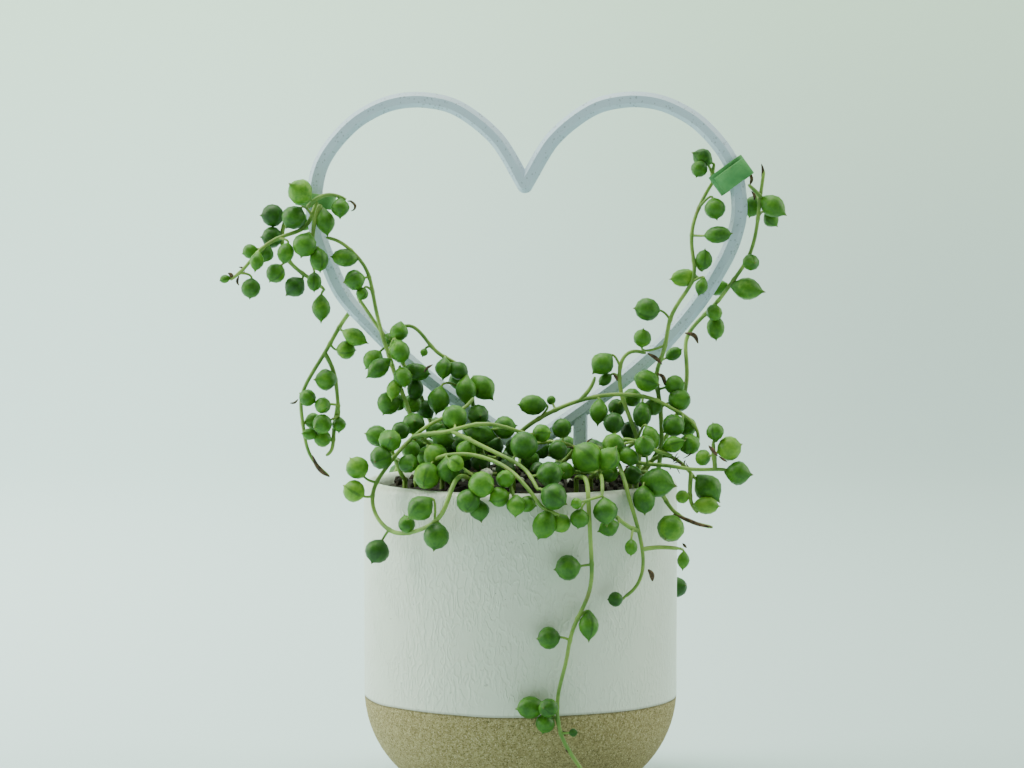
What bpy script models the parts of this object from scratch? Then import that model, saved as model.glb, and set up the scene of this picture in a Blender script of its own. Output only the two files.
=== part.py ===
"""String of pearls growing in a glazed pot, trained up a heart-shaped trellis.

Frame: metres, +Z up, origin at the centre of the pot's flat foot, front towards -Y.
"""
import bpy
import bmesh
import math
import numpy as np
from mathutils import Matrix, Vector, kdtree

# ---------------------------------------------------------------- sizes (metres)
POT_RADIUS = 0.0550         # outside radius of the straight wall
POT_HEIGHT = 0.1080         # foot to lip
POT_WALL = 0.0050           # wall thickness
POT_FLOOR = 0.0060          # thickness of the floor
POT_CORNER = 0.0380         # radius of the big round lower corner
POT_CORNER_START = 0.0340   # height where the wall starts to turn in
SOIL_DROP = 0.0030          # soil below the lip at the wall
SOIL_CROWN = 0.0040         # soil above the lip in the middle
HEART_WIDTH = 0.1553        # outside width of the heart
HEART_RISE = 0.1356         # lip of the pot to the top of the heart
HEART_BAR = 0.0055          # bar width seen from the front
HEART_DEPTH = 0.0042        # bar depth, front to back
HEART_BOW = 0.0024          # the lower left side bows out this much
CLEFT_ROUNDING = 1.12       # underside of the cleft, in half bar widths below its corner
HEART_SHIFT = 0.0015        # heart sits this far right of the pot's centre
HEART_TURN = math.radians(8)  # right lobe turned towards the front
LEG_SPREAD = 0.0197         # leg centre to heart centre
LEG_WIDTH = 0.0049
LEG_FOOT = 0.0600           # height of the lower end of the legs
TIE_THICK = 0.0007
STEM_RADIUS = 0.00075
STALK_RADIUS = 0.00045      # little stalk of one leaf
PEARL_SCALE = 1.0           # at 1.0 a usual pearl is about 6.6 mm across, the largest 10.4 mm
GAP = 0.0003                # clearance between touching pieces
POINTS_APART = 1e-7         # least distance between two points of a joined solid
MM = 0.001

# The plant was laid out for these sizes; place() carries it to the sizes above.
LAID_RADIUS = 0.0550
LAID_HEIGHT = 0.1080
LAID_WIDTH = 0.1553
LAID_RISE = 0.1356

POT_INSIDE = POT_RADIUS - POT_WALL


# ---------------------------------------------------------------- small helpers
def clear_scene():
    for thing in list(bpy.data.objects):
        bpy.data.objects.remove(thing, do_unlink=True)


def finish(name, colour, roughness, metallic=0.0):
    material = bpy.data.materials.new(name)
    material.use_nodes = True
    shader = material.node_tree.nodes["Principled BSDF"]
    shader.inputs["Base Color"].default_value = (*colour, 1.0)
    shader.inputs["Roughness"].default_value = roughness
    shader.inputs["Metallic"].default_value = metallic
    return material


def add_object(name, mesh, material=None):
    obj = bpy.data.objects.new(name, mesh)
    bpy.context.scene.collection.objects.link(obj)
    if material is not None:
        mesh.materials.append(material)
    return obj


def mesh_from(bm, name, smooth=True):
    if bm.calc_volume(signed=True) < 0:
        bmesh.ops.reverse_faces(bm, faces=bm.faces)
    mesh = bpy.data.meshes.new(name)
    bm.to_mesh(mesh)
    bm.free()
    for face in mesh.polygons:
        face.use_smooth = smooth
    return mesh


def closed_volume(mesh):
    """Volume of a mesh, or -1 where it isn't one closed body whose points are all apart."""
    bm = bmesh.new()
    bm.from_mesh(mesh)
    whole = all(edge.is_manifold for edge in bm.edges)
    whole = whole and not bmesh.ops.find_doubles(bm, verts=bm.verts, dist=POINTS_APART)["targetmap"]
    if whole:
        bm.verts.ensure_lookup_table()
        seen = {bm.verts[0]}
        waiting = [bm.verts[0]]
        while waiting:
            for edge in waiting.pop().link_edges:
                fresh = [vertex for vertex in edge.verts if vertex not in seen]
                seen.update(fresh)
                waiting.extend(fresh)
        whole = len(seen) == len(bm.verts)
    volume = bm.calc_volume(signed=True) if whole else -1.0
    bm.free()
    return volume


def join_solid(obj, other, operation="UNION"):
    """Boolean one solid with another and keep only the result.

    A union that comes out open or short of volume is tried again a hair's breadth away.
    """
    least = 0.0
    if operation == "UNION":
        least = max(closed_volume(obj.data), closed_volume(other.data)) * 0.999
    nudges = [(0, 0, 0), (3, -2, 1), (-2, 3, 2), (1, 2, -3), (-3, -1, -2), (2, -3, 3),
              (6, 1, -4), (-5, 4, 3), (2, -6, 5), (-4, -5, -6)]
    for nudge in nudges:
        other.location = Vector(nudge) * 0.00002
        modifier = obj.modifiers.new("join", "BOOLEAN")
        modifier.operation = operation
        modifier.solver = "EXACT"
        modifier.object = other
        depsgraph = bpy.context.evaluated_depsgraph_get()
        joined = bpy.data.meshes.new_from_object(obj.evaluated_get(depsgraph))
        obj.modifiers.clear()
        if closed_volume(joined) > least:
            break
    obj.data = joined
    bpy.data.objects.remove(other, do_unlink=True)


def smooth_line(points, step):
    """Catmull-Rom curve through the points, resampled about every `step`."""
    pts = [Vector(p) for p in points]
    ends = [pts[0] * 2 - pts[1]] + pts + [pts[-1] * 2 - pts[-2]]
    dense = []
    for a, b, c, d in zip(ends, ends[1:], ends[2:], ends[3:]):
        for k in range(8):
            t = k / 8
            dense.append(0.5 * (2 * b + (c - a) * t
                                + (2 * a - 5 * b + 4 * c - d) * t * t
                                + (3 * b - a - 3 * c + d) * t ** 3))
    dense.append(pts[-1])
    lengths = [0.0]
    for a, b in zip(dense, dense[1:]):
        lengths.append(lengths[-1] + (b - a).length)
    count = max(2, round(lengths[-1] / step) + 1)
    line = []
    at = 0
    for k in range(count):
        want = lengths[-1] * k / (count - 1)
        while at < len(dense) - 2 and lengths[at + 1] < want:
            at += 1
        span = max(lengths[at + 1] - lengths[at], 1e-9)
        line.append(dense[at].lerp(dense[at + 1], (want - lengths[at]) / span))
    return line


def loft(points, radii, sides):
    """Closed tube round a line of points; a radius of 0 at an end makes a point there."""
    bm = bmesh.new()
    rings = []
    side = None
    for k, (point, radius) in enumerate(zip(points, radii)):
        before = points[max(k - 1, 0)]
        after = points[min(k + 1, len(points) - 1)]
        along = (after - before).normalized()
        if side is None:
            side = along.orthogonal().normalized()
        side = (side - along * side.dot(along)).normalized()
        other = along.cross(side)
        if radius == 0.0:
            rings.append([bm.verts.new(point)] * sides)
            continue
        ring = []
        for n in range(sides):
            turn = 2 * math.pi * n / sides
            ring.append(bm.verts.new(point + (side * math.cos(turn) + other * math.sin(turn)) * radius))
        rings.append(ring)
    for low, high in zip(rings, rings[1:]):
        for n in range(sides):
            m = (n + 1) % sides
            corners = []
            for corner in (low[n], low[m], high[m], high[n]):
                if corner not in corners:
                    corners.append(corner)
            bm.faces.new(corners)
    if radii[0] > 0.0:
        bm.faces.new(rings[0][::-1])
    if radii[-1] > 0.0:
        bm.faces.new(rings[-1])
    return bm


def turned_solid(name, profile, steps):
    """Solid of revolution from a profile that starts and ends on the axis."""
    mesh = bpy.data.meshes.new(name)
    edges = [(k, k + 1) for k in range(len(profile) - 1)]
    mesh.from_pydata([(r, 0.0, z) for r, z in profile], edges, [])
    obj = add_object(name, mesh)
    screw = obj.modifiers.new("turn", "SCREW")
    screw.axis = "Z"
    screw.steps = steps
    screw.render_steps = steps
    screw.use_merge_vertices = True
    screw.merge_threshold = 0.00001
    screw.use_smooth_shade = True
    depsgraph = bpy.context.evaluated_depsgraph_get()
    turned = bpy.data.meshes.new_from_object(obj.evaluated_get(depsgraph))
    obj.modifiers.clear()
    obj.data = turned
    for face in turned.polygons:
        face.use_smooth = True
    return obj


# ---------------------------------------------------------------- pot and soil
def outside_radius(height):
    """Radius of the pot's outside at a height."""
    drop = POT_CORNER_START - height
    if drop <= 0:
        return POT_RADIUS
    return POT_RADIUS - POT_CORNER + math.sqrt(max(POT_CORNER ** 2 - drop ** 2, 0.0))


def soil_height(radius):
    """Height of the soil at a distance from the middle."""
    share = min(radius / POT_INSIDE, 1.0)
    return POT_HEIGHT - SOIL_DROP + (SOIL_DROP + SOIL_CROWN) * (1 - share ** 2)


def make_pot():
    lip = POT_WALL / 2
    profile = [(0.0, POT_FLOOR)]
    heights = [POT_FLOOR + (POT_CORNER_START - POT_FLOOR) * f for f in (0.0, 0.15, 0.5, 1.0)]
    for height in heights:
        profile.append((outside_radius(height) - POT_WALL * (1.0 if height > heights[0] else 1.6), height))
    profile.append((POT_INSIDE, POT_HEIGHT - lip))
    for k in range(1, 4):
        turn = math.pi * k / 4
        profile.append((POT_RADIUS - lip - lip * math.cos(turn), POT_HEIGHT - lip + lip * math.sin(turn)))
    profile.append((POT_RADIUS, POT_HEIGHT - lip))
    sweep = math.asin(POT_CORNER_START / POT_CORNER)
    for k in range(8):
        height = max(POT_CORNER_START - POT_CORNER * math.sin(sweep * k / 7), 0.0)
        profile.append((outside_radius(height), height))
    profile.append((0.0, 0.0))
    pot = turned_solid("pot", profile, 40)
    pot.data.materials.append(finish("white crackle glaze", (0.80, 0.82, 0.79), 0.35))
    return pot


def make_soil(legs):
    floor = POT_FLOOR + GAP
    profile = [(0.0, soil_height(0.0))]
    for k in range(1, 6):
        radius = (POT_INSIDE - GAP) * k / 5
        profile.append((radius, soil_height(radius)))
    for height in (POT_CORNER_START, POT_CORNER_START * 0.72, POT_CORNER_START * 0.42):
        profile.append((outside_radius(height) - POT_WALL - GAP * 2.5, height))
    profile.append((outside_radius(floor) - POT_WALL * 1.6 - GAP * 4, floor))
    profile.append((0.0, floor))
    soil = turned_solid("soil", profile, 24)
    for leg in legs:
        join_solid(soil, leg, "DIFFERENCE")
    for face in soil.data.polygons:
        face.use_smooth = False
    soil.data.materials.clear()
    soil.data.materials.append(finish("dark potting mix", (0.05, 0.035, 0.025), 0.95))
    return soil


# ---------------------------------------------------------------- heart trellis
# Half of the heart's centre line, tip to cleft: (sideways, height) in mm.
HEART_HALF = [(0, 118), (11, 126), (21, 133.2), (32, 141.2), (41.2, 149), (48.8, 156), (55.6, 163.8),
              (62, 172), (67.6, 181), (72, 189.6), (74.7, 199), (74.9, 206.5), (73.4, 215.5),
              (70, 222.6), (64.2, 229.6), (57.7, 235), (48.5, 239.4), (38.8, 240.9), (29.2, 239.8),
              (22.5, 237.2), (15.4, 232.3), (9.6, 226.8), (5.7, 221.1), (3, 216.3), (0, 211)]
BOW_MIDDLE = 171            # height of the fullest place of the bow, in mm
BOW_SPREAD = 12


def heart_point(side, height, forward=0.0):
    """A place in the heart's own upright plane, as a place in the frame."""
    wide = side * (HEART_WIDTH / LAID_WIDTH) * MM
    high = POT_HEIGHT + (height * MM - LAID_HEIGHT) * (HEART_RISE / LAID_RISE)
    return Vector((HEART_SHIFT + wide * math.cos(HEART_TURN) + forward * MM * -math.sin(HEART_TURN),
                   -wide * math.sin(HEART_TURN) - forward * MM * math.cos(HEART_TURN),
                   high))


def bow(height):
    """How far the left side stands out from the mirror of the right side, in mm."""
    return HEART_BOW / MM * math.exp(-((height - BOW_MIDDLE) / BOW_SPREAD) ** 2)


def heart_line():
    """Closed centre line of the heart, tip first, right half then left half."""
    right = [heart_point(x, z) for x, z in HEART_HALF]
    left = [heart_point(-x - bow(z), z) for x, z in HEART_HALF[1:-1]]
    return right + left[::-1]


def upright_bar(name, foot, top, wide, deep):
    """Upright square-cornered bar turned with the heart."""
    bpy.ops.mesh.primitive_cube_add(size=1.0)
    bar = bpy.context.object
    bar.name = name
    bar.scale = (wide, deep, top.z - foot)
    bar.rotation_euler = (0.0, 0.0, -HEART_TURN)
    bar.location = (top.x, top.y, (top.z + foot) / 2)
    bpy.ops.object.transform_apply(location=True, rotation=True, scale=True)
    return bar


def make_heart():
    line = heart_line()
    facing = Vector((-math.sin(HEART_TURN), -math.cos(HEART_TURN), 0.0))
    section = [(0.5, 0.22), (0.30, 0.5), (-0.30, 0.5), (-0.5, 0.22),
               (-0.5, -0.22), (-0.30, -0.5), (0.30, -0.5), (0.5, -0.22)]
    bm = bmesh.new()
    rings = []
    count = len(line)
    cleft = len(HEART_HALF) - 1
    for k, point in enumerate(line):
        before = (point - line[k - 1]).normalized()
        after = (line[(k + 1) % count] - point).normalized()
        along = (before + after).normalized()
        outward = along.cross(facing).normalized()
        stretch = 1.0 / max(along.dot(after), 0.35)
        ring = []
        for wide, deep in section:
            reach = CLEFT_ROUNDING if k == cleft and wide < 0 else stretch
            offset = outward * (wide * HEART_BAR * reach) + facing * (deep * HEART_DEPTH)
            ring.append(bm.verts.new(point + offset))
        rings.append(ring)
    for k in range(count):
        low = rings[k]
        high = rings[(k + 1) % count]
        for n in range(len(section)):
            m = (n + 1) % len(section)
            bm.faces.new((low[n], low[m], high[m], high[n]))
    heart = add_object("heart_trellis", mesh_from(bm, "heart_trellis"))
    for side in (-1, 1):
        top = heart_point(side * LEG_SPREAD / MM * LAID_WIDTH / HEART_WIDTH, 132.0)
        join_solid(heart, upright_bar("leg", LEG_FOOT, top, LEG_WIDTH, HEART_DEPTH * 0.92))
    heart.data.materials.clear()
    heart.data.materials.append(finish("speckled grey-blue plastic", (0.55, 0.62, 0.68), 0.6))
    return heart


def leg_pockets():
    """Cutters for the two pockets the legs stand in."""
    pockets = []
    for side in (-1, 1):
        top = heart_point(side * LEG_SPREAD / MM * LAID_WIDTH / HEART_WIDTH, 132.0)
        wide, deep = LEG_WIDTH + 2 * GAP, HEART_DEPTH + 2 * GAP
        pockets.append(upright_bar("pocket", LEG_FOOT - GAP, top, wide, deep))
    return pockets


# ---------------------------------------------------------------- plant ties
def tie_ring(centre, tilt, half_wide, half_deep, band):
    """Points of a flattened loop: (centre line, outward, along the bar)."""
    across = Matrix.Rotation(-HEART_TURN, 3, "Z") @ Vector((math.cos(tilt), 0.0, math.sin(tilt)))
    deep = Matrix.Rotation(-HEART_TURN, 3, "Z") @ Vector((0.0, 1.0, 0.0))
    up = across.cross(deep).normalized()
    points = []
    for k in range(20):
        turn = 2 * math.pi * k / 20
        x = abs(math.cos(turn)) ** 0.7 * math.copysign(half_wide, math.cos(turn))
        y = abs(math.sin(turn)) ** 0.7 * math.copysign(half_deep, math.sin(turn))
        points.append(centre + across * x + deep * y)
    return points, across, deep, up * band / 2


def make_tie(name, centre, tilt, half_wide, half_deep, band, tail):
    """A soft strap looped round the bar, its tail folded over the front."""
    points, across, deep, up = tie_ring(centre, tilt, half_wide, half_deep, band)
    bm = bmesh.new()
    rings = []
    for point in points:
        out = (point - centre).normalized() * TIE_THICK / 2
        corners = (point - out - up, point + out - up, point + out + up, point - out + up)
        rings.append([bm.verts.new(corner) for corner in corners])
    for k in range(len(rings)):
        low = rings[k]
        high = rings[(k + 1) % len(rings)]
        for n in range(4):
            m = (n + 1) % 4
            bm.faces.new((low[n], low[m], high[m], high[n]))
    tie = add_object(name, mesh_from(bm, name))
    bm = bmesh.new()
    bmesh.ops.create_cube(bm, size=1.0)
    shape = Matrix((across * half_wide * 1.5, deep * TIE_THICK * 1.6, up * 2 * tail)).transposed().to_4x4()
    place_at = centre - deep * (half_deep + TIE_THICK * 0.6) + up * (1 - tail) * 1.02
    bmesh.ops.transform(bm, matrix=Matrix.Translation(place_at) @ shape, verts=bm.verts)
    join_solid(tie, add_object("tail", mesh_from(bm, "tail", False)))
    tie.data.materials.clear()
    tie.data.materials.append(finish("green plant tie", (0.12, 0.36, 0.12), 0.8))
    return points, up


# ---------------------------------------------------------------- the plant
# Each strand: name, its stems and its pearls, laid out in mm in the frame above.
# A stem is a list of (x, y, z); the first runs from root to tip, later ones fork from it.
# A pearl is (x, y, z, radius, clock, length): clock is where its pointed tip looks seen
# from the front (0 up, 90 right, 180 down, 270 left), None lets it hang off its stem.
STRANDS = [
    ("lobe_left_arc",
     [[(-71.5, 4, 205), (-73, 3, 199.5), (-76, 2, 195.5), (-80, 2, 194.6), (-84, 1, 193.2),
       (-88, 0, 191.2), (-92, 0, 188), (-95, 0, 184), (-97, 0, 181), (-99.5, 0, 179),
       (-101.5, 0, 178)]],
     [(-103.5, 0, 178.3, 1.5, 250, 1.2), (-94.5, 1, 175, 3.4, 185, 1),
      (-92, -4, 184.6, 2.5, 190, 1.25), (-89.5, 5, 187, 2.9, 200, 1), (-95, 5, 187.8, 2.6, 250, 1),
      (-82, -2, 187.5, 2.9, 195, 1.2)]),
    ("lobe_left_drop",
     [[(-70.5, 3, 204), (-72, 0, 200), (-72.6, -1, 196), (-72.8, 0, 191), (-73, 2, 187),
       (-73, 3, 183)]],
     [(-75.4, -4, 190.3, 4.1, 195, 1), (-79, 1, 199.3, 4.1, 215, 1), (-68.3, 1, 198, 3.3, 170, 1.3),
      (-69.3, -2, 185.2, 3.2, 175, 1.25), (-72.4, 3, 177.2, 2.5, 180, 1.3)]),
    ("lobe_left_crown",
     [[(-74.5, 2, 203.4), (-72.5, 1, 206), (-70, 0, 207.9), (-66.5, 0, 208.6), (-63.5, 0, 208),
       (-61, 0, 206)]],
     [(-77, -2, 208.5, 4.4, None, 1), (-63, -1, 203.2, 3.2, 180, 1)]),
    ("lobe_left_back",
     [[(-79.5, 14, 203), (-82.5, 12, 200), (-84.3, 10, 196), (-84.2, 9, 190), (-83.5, 8, 186),
       (-81, 8, 183), (-78, 8, 180.5), (-75, 9, 178.8), (-71, 8, 176), (-69, 6, 174.4)]],
     [(-87.3, 10, 200.3, 3.9, 270, 1), (-87.5, 9, 192.5, 3.6, None, 1),
      (-86.2, 8, 180, 3.4, 215, 1), (-79.5, 8, 175.2, 3.6, 225, 1), (-70, 3, 168, 3.3, 180, 1.3),
      (-75.6, 14, 198, 3, None, 1)]),
    ("arm_left_climber",
     [[(-33, -14, 110), (-35.5, -13, 118), (-37, -12, 125), (-38, -10, 130), (-39.3, -8, 134),
       (-41.3, -6, 139), (-43.5, -5, 143.3), (-44.7, -4, 147.5), (-46, -3, 152), (-47.5, -2, 156.5),
       (-49.2, -1, 161.5), (-50.4, 0, 166), (-51.4, 1, 171), (-52.2, 1, 176), (-53, 1, 180.5),
       (-54.6, 1, 183.6), (-57, 1, 186), (-60, 1, 189), (-62.5, 1, 191.5), (-65, 1, 193),
       (-68, 1, 193.4)]],
     [(-62.5, 0, 185.6, 3.1, 275, 1.45), (-58, -2, 178, 3.6, None, 1),
      (-55.4, -1, 173.2, 2.2, 200, 1), (-42.2, -8, 154, 3.5, 160, 1.15),
      (-49.4, -9, 147.6, 3.2, 232, 1.4), (-44.2, -11, 140.2, 2.5, 190, 1.35),
      (-41, -11, 144.6, 3.2, 170, 1.1), (-37, -15, 128.4, 3.8, None, 1)]),
    ("arm_left_second",
     [[(-26, 6, 111), (-29, 6, 120), (-32.5, 5, 130), (-36, 4, 139), (-40, 2, 147), (-44.6, 1, 154),
       (-48.2, 0, 159), (-51.6, 1, 163.8), (-54.4, 2, 168), (-57.2, 2, 172)]],
     [(-51.6, -1, 150, 3.4, 220, 1.1), (-46.6, 4, 156.4, 2.1, None, 1),
      (-36.8, -3, 139.8, 3, 185, 1.2), (-36.4, -5, 146, 3, 98, 1.5),
      (-33.5, 5, 132.2, 3.4, None, 1), (-38, -2, 134.4, 3.2, None, 1),
      (-43.2, 2, 134.8, 3.1, None, 1), (-29.6, 10, 126, 3, None, 1), (-46, -7, 135.4, 4, 205, 1)]),
    ("hang_left",
     [[(-57.5, 15, 169.5), (-61.5, 13, 165), (-63.8, 11, 161.3), (-66.2, 10, 157),
       (-69.2, 10, 151.4), (-72.2, 10, 147), (-75.2, 10, 142), (-77.4, 10, 138), (-78.2, 10, 135.6),
       (-77.8, 10, 132), (-77.2, 10, 128), (-76.3, 10, 122), (-75.8, 10, 117), (-73.2, 10, 113),
       (-70.6, 10, 109.8), (-67.7, 10, 108)],
      [(-69.2, 10, 151.4), (-66.9, 10, 148.2), (-65.5, 10, 145), (-65.1, 10, 141), (-64.8, 10, 137),
       (-64.5, 10, 133), (-64.2, 10, 129.5)],
      [(-64.5, 10, 133), (-66, 12, 126), (-66.4, 10, 120), (-65.6, 9, 117), (-66.3, 9, 115),
       (-68.8, 9, 115.4)]],
     [(-58, 8, 158, 3, 115, 1.45), (-61.7, 10, 152.8, 3.3, 90, 1), (-75.2, 8, 136, 3, 120, 1),
      (-69.8, 7, 133.4, 2.8, 95, 1.35), (-73.4, 12, 127.4, 3, None, 1),
      (-74.4, 7, 123.2, 2.2, 275, 1.3), (-64.2, 10, 126.4, 2.5, 180, 1),
      (-68.7, 8, 142.4, 3.8, None, 1), (-69.8, 5, 127, 3.4, None, 1),
      (-70, 9, 121.6, 3.1, None, 1)]),
    ("arm_left_arch",
     [[(-13, 2, 112), (-14, 1, 120), (-15.5, 0, 128), (-17, -1, 136), (-17.6, -1, 142),
       (-19.6, 0, 147), (-23.5, 0, 149.8), (-27, -1, 150.4), (-29.4, -1, 152), (-31.4, -1, 154.6),
       (-33.4, -1, 157.6), (-35.4, -1, 160.4), (-37.4, -1, 162.8), (-39.2, -1, 163.8),
       (-40.6, -1, 163), (-41.6, -1, 161.6)]],
     [(-43.2, -3, 159, 3.3, 190, 1), (-33.8, -1, 152.6, 1.4, 200, 1),
      (-26.8, -4, 147.2, 3.1, 185, 1.1), (-21.6, -4, 146.4, 3.2, 130, 1.1),
      (-19, -7, 139.8, 3.7, 180, 1.2), (-13.2, -3, 140.4, 4.2, 140, 1.1),
      (-14.8, -7, 131, 3.7, None, 1), (-24.8, 4, 139.4, 3.2, None, 1),
      (-28.6, -8, 136.4, 3.9, 190, 1.1)]),
    ("front_left_loop",
     [[(-17, -36, 111), (-19.5, -44, 113.4), (-22, -51.5, 113), (-24, -57, 108), (-25.4, -58, 103),
       (-27.3, -57, 99.6), (-30, -55, 97.6), (-33, -53, 96), (-37, -50, 94.4), (-40, -48, 93.6),
       (-43, -46, 93.4), (-45.4, -44, 94.8), (-48.2, -41, 97.2), (-50.2, -39, 100),
       (-51.2, -38, 103.4), (-50.9, -37, 107), (-49.6, -36, 110.6), (-47, -34, 114.2),
       (-44, -32, 118), (-40.6, -30, 121.8), (-37, -28, 125.2), (-33.6, -26, 127.8),
       (-30, -24, 130), (-26, -22, 131.6), (-21.5, -19, 133.2), (-17.6, -17, 134.6),
       (-16.4, -15, 137.6)],
      [(-37, -28, 125.2), (-33, -31, 126.6), (-28, -34, 126.6), (-24, -35, 127.3),
       (-21, -36, 128.8), (-18, -37, 129.9), (-14, -38, 130.6), (-10, -38, 130.7), (-7, -38, 130),
       (-4, -38, 128.9), (-1, -38, 127.7), (2.5, -38, 127)],
      [(-24, -35, 127.3), (-19, -38, 125.9), (-15, -41, 124), (-10, -44, 121.7), (-6, -46, 120.1),
       (-3, -48, 118.9), (0, -50, 117.6), (2.5, -52.5, 115.6), (4.2, -56, 112.6), (5.6, -59, 110)]],
     [(-55.7, -38, 115.4, 3.8, 325, 1), (-56.8, -39, 107.5, 3.7, 300, 1),
      (-48.8, -43, 87.4, 4, 205, 1), (-38.6, -49, 97.2, 3, None, 1),
      (-28.4, -58, 94.2, 4.2, 190, 1.05), (-33.8, -58, 103.6, 4.1, 230, 1.1),
      (-5.6, -33, 128.8, 3.8, 80, 1), (-14, -34, 126.8, 3.6, 100, 1.4),
      (-22.6, -29, 132, 4.2, None, 1), (7, -40, 127.4, 3.1, None, 1), (1, -45, 123.6, 4.7, None, 1),
      (10, -62, 107, 4.4, 120, 1), (-18.6, -38, 121.4, 3.5, None, 1),
      (9.6, -53, 114.6, 4.3, None, 1), (-27.4, -30, 123, 3.4, 100, 1.1)]),
    ("left_rim",
     [[(-40, -20, 109), (-41.8, -25, 113), (-43, -28, 117.5), (-44.6, -29, 121.6),
       (-46.4, -28, 124.6)]],
     [(-49.2, -27, 125.4, 3.5, 282, 1.15), (-44.6, -36, 124.6, 3.8, None, 1),
      (-41, -21, 127, 3.1, None, 1), (-47.4, -36, 118.2, 3.9, None, 1),
      (-38.2, -37, 116.6, 3.3, None, 1), (-38, -22, 120.2, 3.2, None, 1)]),
    ("front_runner",
     [[(-27, -26, 110.5), (-30, -31, 113.5), (-31, -35, 117), (-29, -38, 119), (-26, -40, 119.7),
       (-22, -42, 120.6), (-18, -43, 120.8), (-14, -45, 120), (-10, -47, 119), (-5.5, -51, 117.2),
       (-2, -55, 114.6), (1, -58, 111.6), (4, -60, 108.6), (7, -61, 105.4), (10, -61, 103),
       (12.6, -61, 101.8)]],
     [(-32, -42, 113, 4.5, None, 1), (-28.6, -33, 118.6, 4.2, 190, 1),
      (-24.6, -42, 114.8, 4, None, 1), (8, -61, 98.8, 4, 205, 1.2),
      (13.8, -59, 98.8, 3.2, None, 1)]),
    ("front_drop_left",
     [[(-12, -36, 111.5), (-14, -44, 113.4), (-15.5, -52, 113.5), (-16.6, -57.5, 110.6)]],
     [(-12.2, -60, 110.6, 4.3, None, 1), (-17.6, -61, 106.4, 4, None, 1),
      (-13.4, -58.5, 103.4, 3.3, 170, 1), (-22, -50, 118, 2.8, None, 1)]),
    ("front_drop_mid",
     [[(-3, -36, 112), (-4.4, -45, 113.4), (-4.4, -53, 113.4), (-3.2, -58, 110),
       (-2.4, -59.5, 107.6)]],
     [(-4.6, -57, 113.6, 3, None, 1), (-1.6, -61.5, 104.8, 3.2, 185, 1),
      (-8, -59, 108, 3.3, None, 1), (3.4, -57, 106, 2.8, None, 1)]),
    ("front_trail",
     [[(19, -34, 111.5), (20.6, -43, 113.4), (22, -51, 113.4), (22.6, -56.5, 109), (23, -58, 102),
       (23.2, -58, 95), (23.6, -58, 88), (24, -58, 82), (23.5, -58, 76), (21.5, -58, 71),
       (18.6, -58.5, 66), (16.6, -59, 61), (15.9, -59, 56), (15, -59, 50), (13.2, -59, 45),
       (12.2, -59, 40), (12.1, -59, 34), (12.6, -58.5, 29.6), (13.8, -58, 25.4), (16, -57, 21.4),
       (18.8, -56, 17.4), (21.6, -56, 13), (24.2, -56.5, 8.4), (27.2, -58, 4), (31, -60, 1.6),
       (35.5, -62, 1.3), (40.5, -62.5, 1.3)]],
     [(15.8, -58.5, 83.6, 4.1, None, 1), (22.8, -59, 64.2, 3.3, 180, 1.35),
      (9.4, -59.5, 60, 3.7, 268, 1), (3.2, -59, 36.4, 3.7, 266, 1.2), (9.2, -64, 37, 3.2, None, 1),
      (8.2, -59, 31, 3.2, 195, 1), (17.6, -60, 28, 1.4, None, 1), (31, -54, 9, 3.4, None, 1),
      (34, -66, 4.2, 3.6, None, 1), (44.5, -61, 4.2, 3.9, 80, 1)]),
    ("front_drop_right",
     [[(24, -30, 111.5), (26, -38, 113.6), (27, -46, 114), (27.5, -53, 112.4),
       (27.3, -56.6, 107.6)]],
     [(22, -44, 118.4, 5.2, None, 1), (29.8, -44, 119, 4, None, 1),
      (27.8, -58, 102.6, 4.1, None, 1), (19.4, -61, 100.4, 3.1, 190, 1),
      (18.4, -62, 105.6, 1.9, None, 1), (14.4, -40, 114.4, 3, None, 1)]),
    ("right_runner",
     [[(14, -10, 112.5), (17, -14, 117), (20.5, -18, 121), (24, -21, 122), (28, -24, 120.6),
       (31.4, -26, 118.4), (35, -29, 116.6), (39, -31, 115.8), (44, -32, 115.8), (49, -32, 116),
       (54, -32, 115), (59, -32, 114), (64, -32, 114.2), (68, -32, 114.8), (70.4, -32, 114.2)],
      [(67, -32, 114.6), (66.8, -32, 117.6), (65.2, -32, 121), (65.9, -32, 124)],
      [(31.4, -26, 118.4), (33.4, -34, 116.4), (35, -41, 112), (36.6, -45, 106.4),
       (38.4, -47, 100.4), (40, -47, 94.6), (41.2, -47, 89), (41.8, -47, 84), (41.4, -47, 79.6),
       (39.6, -48, 75.8), (37.4, -49, 73.2), (35, -50, 72.6)],
      [(41.2, -47, 89), (45, -46, 89.4), (50, -45, 89), (54, -44, 88.4)],
      [(40, -47, 94.6), (37.6, -49, 95), (34.4, -50, 97.6), (31.6, -51, 100.6)]],
     [(74.4, -32, 113, 4.1, 95, 1), (66.5, -32, 127.2, 3, 345, 1), (71.4, -31, 121.4, 4.1, 70, 1),
      (32, -51, 72, 2.5, 270, 1), (55.2, -44, 84.4, 2.1, 185, 1.35),
      (37.2, -52, 89.8, 2.1, 182, 1.25), (29.6, -53, 96.6, 3, 250, 1.1),
      (62.6, -28, 118, 2.8, None, 1), (41.8, -38, 122.6, 3.6, None, 1)]),
    ("right_brown_tip",
     [[(38, -16, 110.5), (42.5, -22, 113), (46, -28, 112), (48, -34, 107), (50, -37, 102.4),
       (52.6, -38, 99.4), (56.5, -38, 97.2), (61, -38, 95.8), (65.5, -38, 95)]],
     [(51, -42, 95.2, 4.6, None, 1), (46.6, -40, 110.6, 5, 105, 1.1),
      (41.4, -44, 105, 3.8, 175, 1.2)]),
    ("right_rim_end",
     [[(42, -4, 111), (46.5, -10, 116.5), (51, -15, 118), (55.5, -19, 115.8), (58.6, -21, 112.4),
       (60.4, -22, 110)],
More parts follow.
